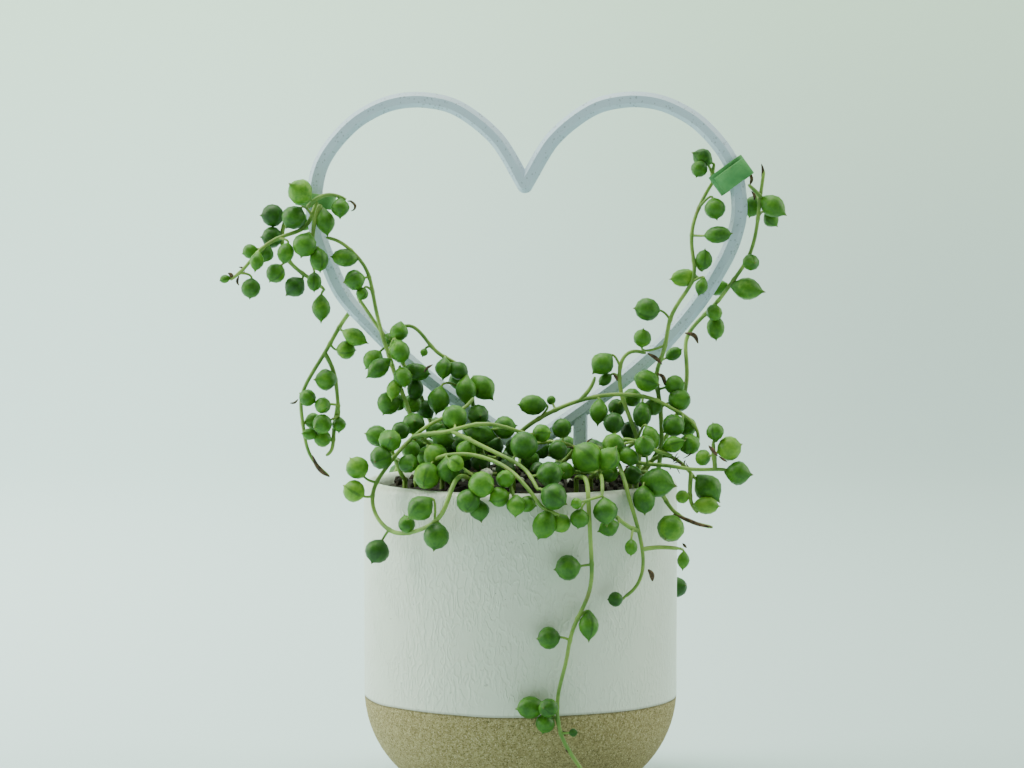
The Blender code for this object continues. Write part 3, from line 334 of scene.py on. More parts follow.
# %% [markdown]
# The floor is a plane. Its far edge is extruded in twelve short steps round a quarter circle
# and then straight up, so there is no corner behind the plant for a dark line to show in.

# %% Floor and wall in one sweep
room = added("floor_and_wall", bpy.ops.mesh.primitive_plane_add, size=1.0, location=(0.0, -1.5, 0.0))
room.scale = (8.0, 5.4, 1.0)
apply_place(room)
wall_foot = max(vertex.co.y for vertex in room.data.vertices)
pick(room, lambda edge: all(room.data.vertices[v].co.y > wall_foot - 0.001 for v in edge.vertices), "EDGE")
BEND_RADIUS = 0.9
BEND_STEPS = 12
reach = BEND_RADIUS * 2 * math.sin(math.radians(90 / BEND_STEPS / 2))
for step in range(BEND_STEPS):
    turn = math.radians(90 * (step + 0.5) / BEND_STEPS)
    extrude(0.0, reach * math.cos(turn), reach * math.sin(turn))
extrude(0.0, 0.0, 3.0)
leave_edit()
bpy.ops.object.shade_smooth()
paper = Finish("pale studio paper")
far_up = paper.axis("Z").between(0.0, 0.5)
# painted shade: floor and wall are painted darker towards the right, where less light falls
painted_shade_to_right = paper.axis("X").between(-0.35, 0.35)
floor_tone = paper.blend(painted_shade_to_right, (0.69, 0.85, 0.91), (0.44, 0.54, 0.56))
wall_tone = paper.blend(painted_shade_to_right, (0.71, 0.93, 0.77), (0.61, 0.80, 0.64))
room.data.materials.append(paper.set(Base_Color=paper.blend(far_up, floor_tone, wall_tone), Roughness=0.9))

# %% [markdown]
# Daylight comes from large soft panels: one overhead, a window at each side and one that
# brightens the wall. The left window is the stronger, so the right side is a little darker.

# %% Lights
def soft_light(name, place, aim, size, power, colour):
    drop_selection()
    bpy.ops.object.light_add(type="AREA", location=place)
    light = bpy.context.object
    light.name = name
    light.data.shape = "SQUARE"
    light.data.size = size
    light.data.energy = power
    light.data.color = colour
    light.rotation_euler = (Vector(aim) - Vector(place)).to_track_quat("-Z", "Y").to_euler()


soft_light("sky_panel", (0.0, 0.15, 1.5), (0.0, 0.0, 0.1), 1.6, 18.0, (0.90, 1.0, 0.84))
soft_light("left_window", (-1.5, 0.25, 0.8), (0.0, 0.0, 0.12), 1.3, 32.0, (0.92, 1.0, 0.88))
soft_light("right_window", (1.5, 0.30, 0.8), (0.0, 0.0, 0.12), 1.3, 21.0, (0.92, 1.0, 0.88))
soft_light("wall_light", (-0.7, 0.5, 2.3), (-0.6, 2.1, 0.6), 1.8, 72.0, (0.90, 1.0, 0.86))
world = bpy.data.worlds.new("soft daylight")
bpy.context.scene.world = world
world.use_nodes = True
world.node_tree.nodes["Background"].inputs["Color"].default_value = (0.84, 0.96, 0.76, 1.0)
world.node_tree.nodes["Background"].inputs["Strength"].default_value = 0.30
print("camera, room and lights are in place")

# %% [markdown]
# ## The pot
# A potter turns this shape on a wheel, and spinning a profile round an axis is the same idea.
# The profile is drawn point by point from the middle of the inside floor, up the inner wall,
# over a round lip, down the outside and round the full lower corner to the foot.

# %% Profile of the pot
def outside_radius(height):
    """Radius of the pot's outside at a height."""
    drop = POT_CORNER_START - height
    if drop <= 0:
        return POT_RADIUS
    return POT_RADIUS - POT_CORNER + math.sqrt(max(POT_CORNER ** 2 - drop ** 2, 0.0))


def soil_height(radius):
    """Height of the soil at a distance from the middle."""
    share = min(radius / POT_INSIDE, 1.0)
    return POT_HEIGHT - SOIL_DROP + (SOIL_DROP + SOIL_CROWN) * (1 - share ** 2)


def pot_profile():
    lip = POT_WALL / 2
    profile = [(0.0, POT_FLOOR), (outside_radius(POT_FLOOR) - 1.6 * POT_WALL, POT_FLOOR)]
    for share in (0.15, 0.3, 0.5, 0.75, 1.0):
        height = POT_FLOOR + (POT_CORNER_START - POT_FLOOR) * share
        profile.append((outside_radius(height) - POT_WALL, height))
    for k in range(13):
        turn = math.pi * k / 12
        profile.append((POT_RADIUS - lip - lip * math.cos(turn), POT_HEIGHT - lip + lip * math.sin(turn)))
    for k in range(1, 6):
        profile.append((POT_RADIUS, POT_HEIGHT - lip - (POT_HEIGHT - lip - POT_CORNER_START) * k / 6))
    sweep = math.asin(POT_CORNER_START / POT_CORNER)
    for k in range(15):
        height = max(POT_CORNER_START - POT_CORNER * math.sin(sweep * k / 14), 0.0)
        profile.append((outside_radius(height), height))
    profile.append((0.0, 0.0))
    return profile


def turned(name, profile, steps):
    """Draw a profile with the extrude tool, then spin it round the upright axis."""
    piece = added(name, bpy.ops.mesh.primitive_plane_add, size=0.001)
    edit_all(piece)
    bpy.ops.mesh.merge(type="CENTER")
    bpy.ops.mesh.select_mode(type="VERT")
    bpy.ops.mesh.select_all(action="SELECT")
    bpy.ops.transform.translate(value=(profile[0][0], 0.0, profile[0][1]))
    for (r0, z0), (r1, z1) in zip(profile, profile[1:]):
        extrude(r1 - r0, 0.0, z1 - z0)
    bpy.ops.mesh.select_all(action="SELECT")
    bpy.ops.mesh.spin(steps=steps, angle=2 * math.pi, center=(0.0, 0.0, 0.0), axis=(0.0, 0.0, 1.0))
    leave_edit()
    close_up(piece, 0.002 * MM)
    bpy.ops.object.shade_smooth_by_angle(angle=math.radians(40))
    return piece


SIDES = 128
pot = turned("glazed_pot", pot_profile(), SIDES)

# %% [markdown]
# The pot was dipped upside down, so the glaze stops in a slightly wavy line above the foot.
# The white glaze above it has fine raised wrinkles and faint hairline cracks.
# It ends in a thin grey lip. Below the lip is bare sandy clay, with a painted shadow just under the lip.
# One mask, the height above the wavy line, chooses between the two finishes.

# %% Glaze and clay
def glazed_clay():
    clay = Finish("crackle glaze over sandy clay")
    wave = clay.grain(26.0, 1.0)
    above = clay.axis("Z") - (GLAZE_EDGE - 1.1 * MM + wave * (2.2 * MM))
    glazed = above.between(-0.12 * MM, 0.22 * MM)
    rim = (1 - (above - 0.25 * MM).size().between(0.0, 0.75 * MM))
    bent = clay.grain(60.0, 3.0)
    shifted = clay.node("ShaderNodeVectorMath", {"operation": "ADD"},
                        {0: clay.stretched((1.0, 1.0, 0.62)),
                         1: clay.node("ShaderNodeCombineXYZ", None,
                                      {0: bent * 0.012, 1: bent * -0.012, 2: bent * 0.01})})
    cracks = clay.cells(150.0, "DISTANCE_TO_EDGE", shifted)
    fine = clay.cells(390.0, "DISTANCE_TO_EDGE", shifted)
    crack = (1 - cracks.between(0.0, 0.045)) * clay.grain(45.0).between(0.34, 0.6)
    hair = (1 - fine.between(0.0, 0.06)) * clay.grain(30.0).between(0.45, 0.62)
    net = crack * 0.85 + hair * 0.5
    worm = clay.grain(520.0, 1.5, clay.stretched((1.0, 1.0, 0.45)))
    ridge = (1 - (worm - 0.5).size().between(0.0, 0.10)) * clay.grain(70.0).between(0.30, 0.52)
    pits = clay.grain(640.0, 1.0).between(0.235, 0.19)
    cloud = clay.grain(22.0, 3.0)
    white = clay.blend(cloud, (0.69, 0.735, 0.63), (0.77, 0.81, 0.705))
    white = clay.blend(net * 0.10, white, (0.50, 0.52, 0.46))
    white = clay.blend(pits * 0.5, white, (0.36, 0.36, 0.30))
    white = clay.blend(rim * 0.75, white, (0.42, 0.42, 0.36))
    sand = clay.grain(900.0, 3.0, roughness=0.7)
    specks = clay.grain(2300.0, 1.0)
    body = clay.blend(sand.between(0.3, 0.7), (0.240, 0.186, 0.074), (0.47, 0.385, 0.180))
    body = clay.blend(specks.between(0.60, 0.72), body, (0.67, 0.57, 0.34))
    body = clay.blend(specks.between(0.42, 0.30), body, (0.13, 0.105, 0.045))
    # painted shadow: a dark band on the clay just under the raised glaze lip
    body = clay.blend(above.between(-0.9 * MM, -0.1 * MM) * 0.65, body, (0.10, 0.08, 0.04))
    lumps = clay.grain(620.0, 2.0) * 0.9 + sand * 1.3 + specks * 0.7
    relief = glazed * (1.25 + ridge * 0.38 - net * 0.04 - pits * 0.5 + rim * 0.25
                       + clay.grain(70.0) * 0.12) + (1 - glazed) * lumps
    clay.relief(relief, 0.38 * MM)
    return clay.set(Base_Color=clay.blend(glazed, body, white),
                    Roughness=0.92 - glazed * 0.60 + net * 0.05,
                    Coat_Weight=glazed * 0.18)


finish_piece(pot, glazed_clay(), "pot")

# %% [markdown]
# ## The soil
# Potting mix is crumbly, so a smooth disc would look wrong between the leaves.
# A short cylinder has its top inset ring by ring, and the new points are raised to a low
# rough dome.

# %% Crust of the soil
SOIL_BOTTOM = 48 * MM
SOIL_RINGS = 16
soil_top = POT_HEIGHT - SOIL_DROP
soil = added("potting_mix", bpy.ops.mesh.primitive_cylinder_add, vertices=96,
             radius=POT_INSIDE - GAP, depth=soil_top - SOIL_BOTTOM,
             location=(0.0, 0.0, (soil_top + SOIL_BOTTOM) / 2))
apply_place(soil)
pick(soil, lambda face: face.normal.z > 0.9, "FACE")
for ring in range(SOIL_RINGS):
    bpy.ops.mesh.inset(thickness=(POT_INSIDE - GAP) / (SOIL_RINGS + 0.6))
leave_edit()
for vertex in soil.data.vertices:
    if vertex.co.z > SOIL_BOTTOM + 0.001:
        radius = math.hypot(vertex.co.x, vertex.co.y)
        rough = noise.noise(vertex.co * 260.0) * 0.9 + noise.noise(vertex.co * 620.0) * 0.6
        vertex.co.z = soil_height(radius) + rough * MM - 0.9 * MM


def dark_and_shaded_mix():
    mix = Finish("dark potting mix")
    crumbs = mix.grain(420.0, 4.0, roughness=0.65)
    # the dark brown of the mix, darkened further as painted shade for the shade under the leaves; the
    # crumbs share it
    colour = mix.blend(crumbs.between(0.35, 0.7), (0.010, 0.009, 0.006), (0.050, 0.038, 0.024))
    mix.relief(crumbs, 0.8 * MM)
    return mix.set(Base_Color=colour, Roughness=0.95)


dark = dark_and_shaded_mix()
finish_piece(soil, dark, "soil")

# %% [markdown]
# Loose crumbs and white grains of perlite lie on the crust. Each is a rough ball, made once
# and copied to many places and sizes.

# %% Loose crumbs and perlite
def rough_grain(name, seed, subdivisions=1):
    grain = added(name, bpy.ops.mesh.primitive_ico_sphere_add, subdivisions=subdivisions, radius=1.0)
    edit_all(grain)
    bpy.ops.transform.vertex_random(offset=0.30, seed=seed)
    leave_edit()
    return grain


def scatter(name, seeds, spots):
    """Copies of a few rough grains at the given places and sizes, joined into one piece."""
    copies = []
    for k, (spot, size, turn) in enumerate(spots):
        copy = copy_of(seeds[k % len(seeds)])
        copy.scale = (size, size * 0.8, size * 0.65)
        copy.rotation_euler = (turn, turn * 1.7, turn * 2.3)
        copy.location = spot
        copies.append(copy)
    join_into(copies[0], copies[1:])
    piece = new_piece(name)
    apply_place(piece)
    for seed in seeds:
        bpy.data.objects.remove(seed)
    return piece


chance = random.Random(7)


def over_the_soil(count, small, large):
    spots = []
    for _ in range(count):
        radius = (POT_INSIDE - 3 * MM) * math.sqrt(chance.random())
        turn = chance.random() * 2 * math.pi
        size = chance.uniform(small, large) * MM
        place = (radius * math.cos(turn), radius * math.sin(turn), soil_height(radius) - 0.3 * MM)
        spots.append((place, size, chance.random() * 6.28))
    return spots


crumbs = scatter("loose_crumbs", [rough_grain("crumb_%d" % k, k) for k in range(3)],
                 over_the_soil(210, 0.8, 2.3))
finish_piece(crumbs, dark)

# the lump of perlite in front and the small grains seen between the leaves
seen_perlite = [(-12, -39, 113.2, 3.0), (-22, -41, 112.2, 1.2), (-19.5, -42, 112.0, 1.0),
                (0.3, -43, 112.0, 1.0), (14.8, -36, 113.6, 1.2), (17.2, -36, 113.8, 1.0),
                (24, -30, 114.8, 1.1)]
perlite_spots = [((x * MM, y * MM, z * MM), size * MM, 0.6 * x) for x, y, z, size in seen_perlite]
perlite_spots += over_the_soil(34, 0.6, 1.5)
perlite_shapes = [rough_grain("perlite_%d" % k, 20 + k, 2) for k in range(3)]
perlite = scatter("perlite_grains", perlite_shapes, perlite_spots)


def white_grain():
    grain = Finish("white perlite")
    pits = grain.grain(900.0, 3.0)
    grain.relief(pits, 0.4 * MM)
    return grain.set(Base_Color=grain.blend(pits.between(0.3, 0.7), (0.52, 0.50, 0.43), (0.80, 0.79, 0.73)),
                     Roughness=0.9)


finish_piece(perlite, white_grain())

# %% [markdown]
# ## The heart
# The heart is a flat bar bent into an outline, with its long edges cut back at a slant.
# A person could draw its outer and its inner outline, bridge the two into a flat ring,
# pull the ring out to its depth and bevel the long edges. That keeps the bar even all round,
# also in the two sharp corners, where a curve with a round section would pinch
# and an inset of the outer outline would fold over itself.
# The bar is rounded under the cleft, and its left side bows out a little low down.

# %% Outline of the heart
LEG_TOP = 132.0                 # height where a leg ends inside the bar, in mm
# Half of the centre line, tip to cleft, in mm sideways and above the table.
HEART_HALF = [(0, 118), (11, 126), (21, 133.2), (32, 141.2), (41.2, 149), (48.8, 156), (55.6, 163.8),
              (62, 172), (67.6, 181), (72, 189.6), (74.7, 199), (74.9, 206.5), (73.4, 215.5),
              (70, 222.6), (64.2, 229.6), (57.7, 235), (48.5, 239.4), (38.8, 240.9), (29.2, 239.8),
              (22.5, 237.2), (15.4, 232.3), (9.6, 226.8), (5.7, 221.1), (3, 216.3), (0, 211)]


def smooth_line(points, step):
    """Catmull-Rom curve through the points, resampled about every `step`."""
    pts = [Vector(p) for p in points]
    ends = [pts[0] * 2 - pts[1]] + pts + [pts[-1] * 2 - pts[-2]]
    dense = []
    for a, b, c, d in zip(ends, ends[1:], ends[2:], ends[3:]):
        for k in range(8):
            t = k / 8
            dense.append(0.5 * (2 * b + (c - a) * t
                                + (2 * a - 5 * b + 4 * c - d) * t * t
                                + (3 * b - a - 3 * c + d) * t ** 3))
    dense.append(pts[-1])
    lengths = [0.0]
    for a, b in zip(dense, dense[1:]):
        lengths.append(lengths[-1] + (b - a).length)
    count = max(2, round(lengths[-1] / step) + 1)
    line = []
    at = 0
    for k in range(count):
        want = lengths[-1] * k / (count - 1)
        while at < len(dense) - 2 and lengths[at + 1] < want:
            at += 1
        span = max(lengths[at + 1] - lengths[at], 1e-9)
        line.append(dense[at].lerp(dense[at + 1], (want - lengths[at]) / span))
    return line


def heart_point(side, height, forward=0.0):
    """A place in the heart's own upright plane, as a place on the plant."""
    wide = side * MM
    return Vector((HEART_SHIFT + wide * math.cos(HEART_TURN) - forward * MM * math.sin(HEART_TURN),
                   -wide * math.sin(HEART_TURN) - forward * MM * math.cos(HEART_TURN),
                   height * MM))


def bow(height):
    """How far the left side stands out from the mirror of the right side, in metres."""
    return HEART_BOW * math.exp(-((height / MM - BOW_MIDDLE) / BOW_SPREAD) ** 2)


def flat_heart():
    """Outer and inner outline of the bar in the flat, with equal numbers of points."""
    half = HEART_BAR / 2
    centre_line = smooth_line([(x * MM, z * MM, 0.0) for x, z in HEART_HALF], 1.6 * MM)
    line = [Vector((point.x, point.y)) for point in centre_line]
    tip, cleft = line[0], line[-1]
    outer, inner = [], []
    for a, b, c in zip([line[0]] + line, line, line[1:] + [line[-1]]):
        along = (c - a).normalized()
        outward = Vector((along.y, -along.x))
        outer.append(b + outward * half)
        inner.append(b - outward * half)
    # the two corners: a sharp mitre on one side, and under the cleft a round join
    slope_tip = (line[2] - tip).normalized()
    slope_cleft = (cleft - line[-3]).normalized()
    under_tip = tip - Vector((0.0, half / abs(slope_tip.x)))
    over_tip = tip + Vector((0.0, half / abs(slope_tip.x)))
    notch = cleft + Vector((0.0, half / abs(slope_cleft.x)))
    outer = [notch if k > len(line) // 2 and p.x <= 0.05 * MM else p for k, p in enumerate(outer)]
    inner = [over_tip if k < len(line) // 2 and p.x <= 0.05 * MM else p for k, p in enumerate(inner)]
    outer[0], inner[0], outer[-1] = under_tip, over_tip, notch
    down = math.atan2(cleft.x - inner[-1].x, cleft.y - inner[-1].y)
    steps = 5
    for k in range(1, steps + 1):
        turn = down * (1 - k / steps)
        outer.append(notch)
        inner.append(cleft + Vector((-math.sin(turn), -math.cos(turn))) * half)
    both = []
    for right in (outer, inner):
        left = [Vector((-p.x - bow(p.y), p.y)) for p in right[1:-1]]
        both.append(right + left[::-1])
    return both


# %% Model the heart
def outline_loop(name, outline):
    """A closed line of edges along an outline, standing upright."""
    loop = added(name, bpy.ops.mesh.primitive_circle_add, vertices=len(outline), radius=0.1)
    for vertex, point in zip(loop.data.vertices, outline):
        vertex.co = (point.x, 0.0, point.y)
    return loop


outer_outline, inner_outline = flat_heart()
heart = outline_loop("heart_bar", outer_outline)
join_into(heart, [outline_loop("inner_outline", inner_outline)])
pick(heart, lambda edge: True, "EDGE")
bpy.ops.mesh.bridge_edge_loops()
bpy.ops.mesh.select_all(action="SELECT")
extrude(0.0, HEART_DEPTH, 0.0)
bpy.ops.mesh.select_all(action="SELECT")
bpy.ops.transform.translate(value=(0.0, -HEART_DEPTH / 2, 0.0))
bpy.ops.mesh.remove_doubles(threshold=0.01 * MM)
bpy.ops.mesh.normals_make_consistent(inside=False)
leave_edit()
LONGEST_STEP = 4.4 * MM         # edges across the bar are longer than any edge along it


def on_long_edge(edge):
    """True for the four long corners of the bar, which run along it and not across it."""
    a, b = (heart.data.vertices[v].co for v in edge.vertices)
    return abs(a.y - b.y) < 0.1 * MM and (a - b).length < LONGEST_STEP


pick(heart, on_long_edge, "EDGE")
bpy.ops.mesh.bevel(offset=1.45 * MM, segments=1, clamp_overlap=False)
leave_edit()
bpy.ops.object.shade_smooth_by_angle(angle=math.radians(35))
heart.rotation_euler = (0.0, 0.0, -HEART_TURN)
heart.location = (HEART_SHIFT, 0.0, 0.0)
apply_place(heart)

# %% [markdown]
# Two straight legs join the lower sides of the heart and hold it up in the soil.

# %% Legs of the heart
def heart_leg(side):
    top = heart_point(side * LEG_SPREAD / MM, LEG_TOP)
    leg = added("leg_left" if side < 0 else "leg_right", bpy.ops.mesh.primitive_cube_add, size=1.0)
    leg.scale = (LEG_WIDTH, HEART_DEPTH * 0.92, top.z - LEG_FOOT)
    leg.rotation_euler = (0.0, 0.0, -HEART_TURN)
    leg.location = (top.x, top.y, (top.z + LEG_FOOT) / 2)
    take(leg)
    bpy.ops.object.transform_apply(location=False, rotation=False, scale=True)
    modified(leg, "BEVEL", width=1.0 * MM, segments=3)
    apply_place(leg)
    return leg


join_into(heart, [heart_leg(-1), heart_leg(1)])
close_up(heart, 0.001 * MM)

# %% [markdown]
# The heart's plastic is pale grey-blue with fine dark specks all through it.
# The specks are cells of a Voronoi pattern, kept only where a second noise allows it.

# %% Speckled plastic
def speckled_plastic():
    plastic = Finish("speckled grey-blue plastic")
    fewer = plastic.grain(480.0, 1.0).between(0.50, 0.56)
    specks = (1 - plastic.cells(900.0).between(0.22, 0.40)) * fewer
    patches = plastic.grain(220.0, 1.0).between(0.53, 0.60)
    large = (1 - plastic.cells(420.0).between(0.12, 0.24)) * patches
    specks = specks * 0.75 + large * 0.7
    cloud = plastic.grain(60.0, 2.0)
    colour = plastic.blend(cloud, (0.53, 0.64, 0.78), (0.63, 0.74, 0.88))
    colour = plastic.blend(specks * 0.6, colour, (0.17, 0.21, 0.27))
    plastic.relief(plastic.grain(1100.0, 2.0) * 0.6 + cloud * 0.4, 0.10 * MM)
    return plastic.set(Base_Color=colour, Roughness=0.48 + plastic.grain(300.0) * 0.16)


finish_piece(heart, speckled_plastic(), "heart_trellis")

# %% [markdown]
# ## The two ties
# Each tie is a strip of soft green tape looped round the bar and a stem.
# A flat ring is pulled up to the width of the tape, and Solidify gives it its thickness.
# The right tie crosses the bar at a slant, and its end is folded over the front.

# %% Bands of the ties
def tie_axes(tilt):
    turn = Matrix.Rotation(-HEART_TURN, 3, "Z")
    across = turn @ Vector((math.cos(tilt), 0.0, math.sin(tilt)))
    deep = turn @ Vector((0.0, 1.0, 0.0))
    return across, deep, across.cross(deep).normalized()


def thicken_tape(piece, centre, tilt, soft_edge):
    """Give a sheet of tape its thickness and soft edges, and carry it to its place."""
    modified(piece, "SOLIDIFY", thickness=TIE_THICK, offset=0.0)
    modified(piece, "BEVEL", width=soft_edge, segments=2, limit_method="ANGLE")
    axes = Matrix(tie_axes(tilt)).transposed().to_4x4()
    piece.matrix_world = Matrix.Translation(centre) @ axes
    apply_place(piece)
    close_up(piece, 0.001 * MM)
    bpy.ops.object.shade_smooth_by_angle(angle=math.radians(45))


def tie_ring(count, half_wide, half_deep):
    """Places round a loop of tape, between a circle and a rectangle in shape."""
    ring = []
    for k in range(count):
        turn = 2 * math.pi * k / count
        ring.append((abs(math.cos(turn)) ** 0.7 * math.copysign(half_wide, math.cos(turn)),
                     abs(math.sin(turn)) ** 0.7 * math.copysign(half_deep, math.sin(turn))))
    return ring


def tie_band(name, centre, tilt, half_wide, half_deep, band, flare=0.0):
    """A loop of tape, a little fuller across the middle of its width when it flares."""
    piece = added(name, bpy.ops.mesh.primitive_circle_add, vertices=40, radius=1.0)
    for vertex, (x, y) in zip(piece.data.vertices, tie_ring(40, half_wide, half_deep)):
        vertex.co = (x, y, -band / 2)
    pick(piece, lambda edge: True, "EDGE")
    for k in range(6):
        extrude(0.0, 0.0, band / 6)
        widen = 1.0 + flare * (1 if k < 2 else -1 if k > 3 else 0)
        bpy.ops.transform.resize(value=(widen, widen, 1.0), center_override=(0.0, 0.0, 0.0))
    leave_edit()
    thicken_tape(piece, centre, tilt, 0.22 * MM)
    return piece


def tape_strip(name, centre, tilt, path, band):
    """A strip of tape that follows a path of (sideways, deep) places in the tie's own axes."""
    piece = added(name, bpy.ops.mesh.primitive_plane_add, size=1.0)
    pick(piece, lambda vertex: vertex.co.x > 0, "VERT")
    bpy.ops.mesh.delete(type="VERT")
    leave_edit()
    for vertex in piece.data.vertices:
        vertex.co = (path[0][0], path[0][1], band / 2 * (1 if vertex.co.y > 0 else -1))
    pick(piece, lambda vertex: True, "VERT")
    for (x0, y0), (x1, y1) in zip(path, path[1:]):
        extrude(x1 - x0, y1 - y0, 0.0)
    leave_edit()
    thicken_tape(piece, centre, tilt, 0.20 * MM)
    return piece


RIGHT_TIE = (heart_point(72.2, 214.6), math.radians(36), 6.6 * MM, 3.8 * MM, 7.8 * MM)
LEFT_TIE = (heart_point(-74.4, 205.6), math.radians(-8), 6.6 * MM, 4.0 * MM, 5.0 * MM)
tie_right = tie_band("tape_right", *RIGHT_TIE)
front = -RIGHT_TIE[3]
fold = [(7.0, front / MM - 0.1), (5.6, front / MM - 0.9), (3.0, front / MM - 1.3),
        (0.0, front / MM - 1.4), (-3.0, front / MM - 1.2), (-5.0, front / MM - 0.8)]
up_right = tie_axes(RIGHT_TIE[1])[2]
tail = tape_strip("tape_right_tail", RIGHT_TIE[0] - up_right * 0.8 * MM, RIGHT_TIE[1],
                  [(x * MM, y * MM) for x, y in fold], 6.4 * MM)
tie_left = tie_band("tape_left", *LEFT_TIE, flare=0.01)


# %% Soft green tape
def soft_tape(name, dark_green, light_green):
    tape = Finish(name)
    weave = tape.grain(1300.0, 2.0)
    cloud = tape.grain(240.0, 2.0)
    tape.relief(weave * 0.7 + cloud * 0.6, 0.22 * MM)
    return tape.set(Base_Color=tape.blend(cloud.between(0.25, 0.75), dark_green, light_green),
                    Roughness=0.62 + weave * 0.18,
                    Subsurface_Weight=0.08, Subsurface_Scale=1.5 * MM)


green_tape = soft_tape("green tape", (0.040, 0.19, 0.048), (0.08, 0.29, 0.08))
# painted light: the folded end is the same tape as the band, painted lighter where light catches the fold
lit_folded_tape = soft_tape("green tape, folded end", (0.070, 0.28, 0.080), (0.12, 0.40, 0.12))
pale_tape = soft_tape("pale green tape", (0.10, 0.30, 0.08), (0.19, 0.43, 0.14))
finish_piece(tie_right, green_tape, "tie_right")
finish_piece(tail, lit_folded_tape)
finish_piece(tie_left, pale_tape, "tie_left")
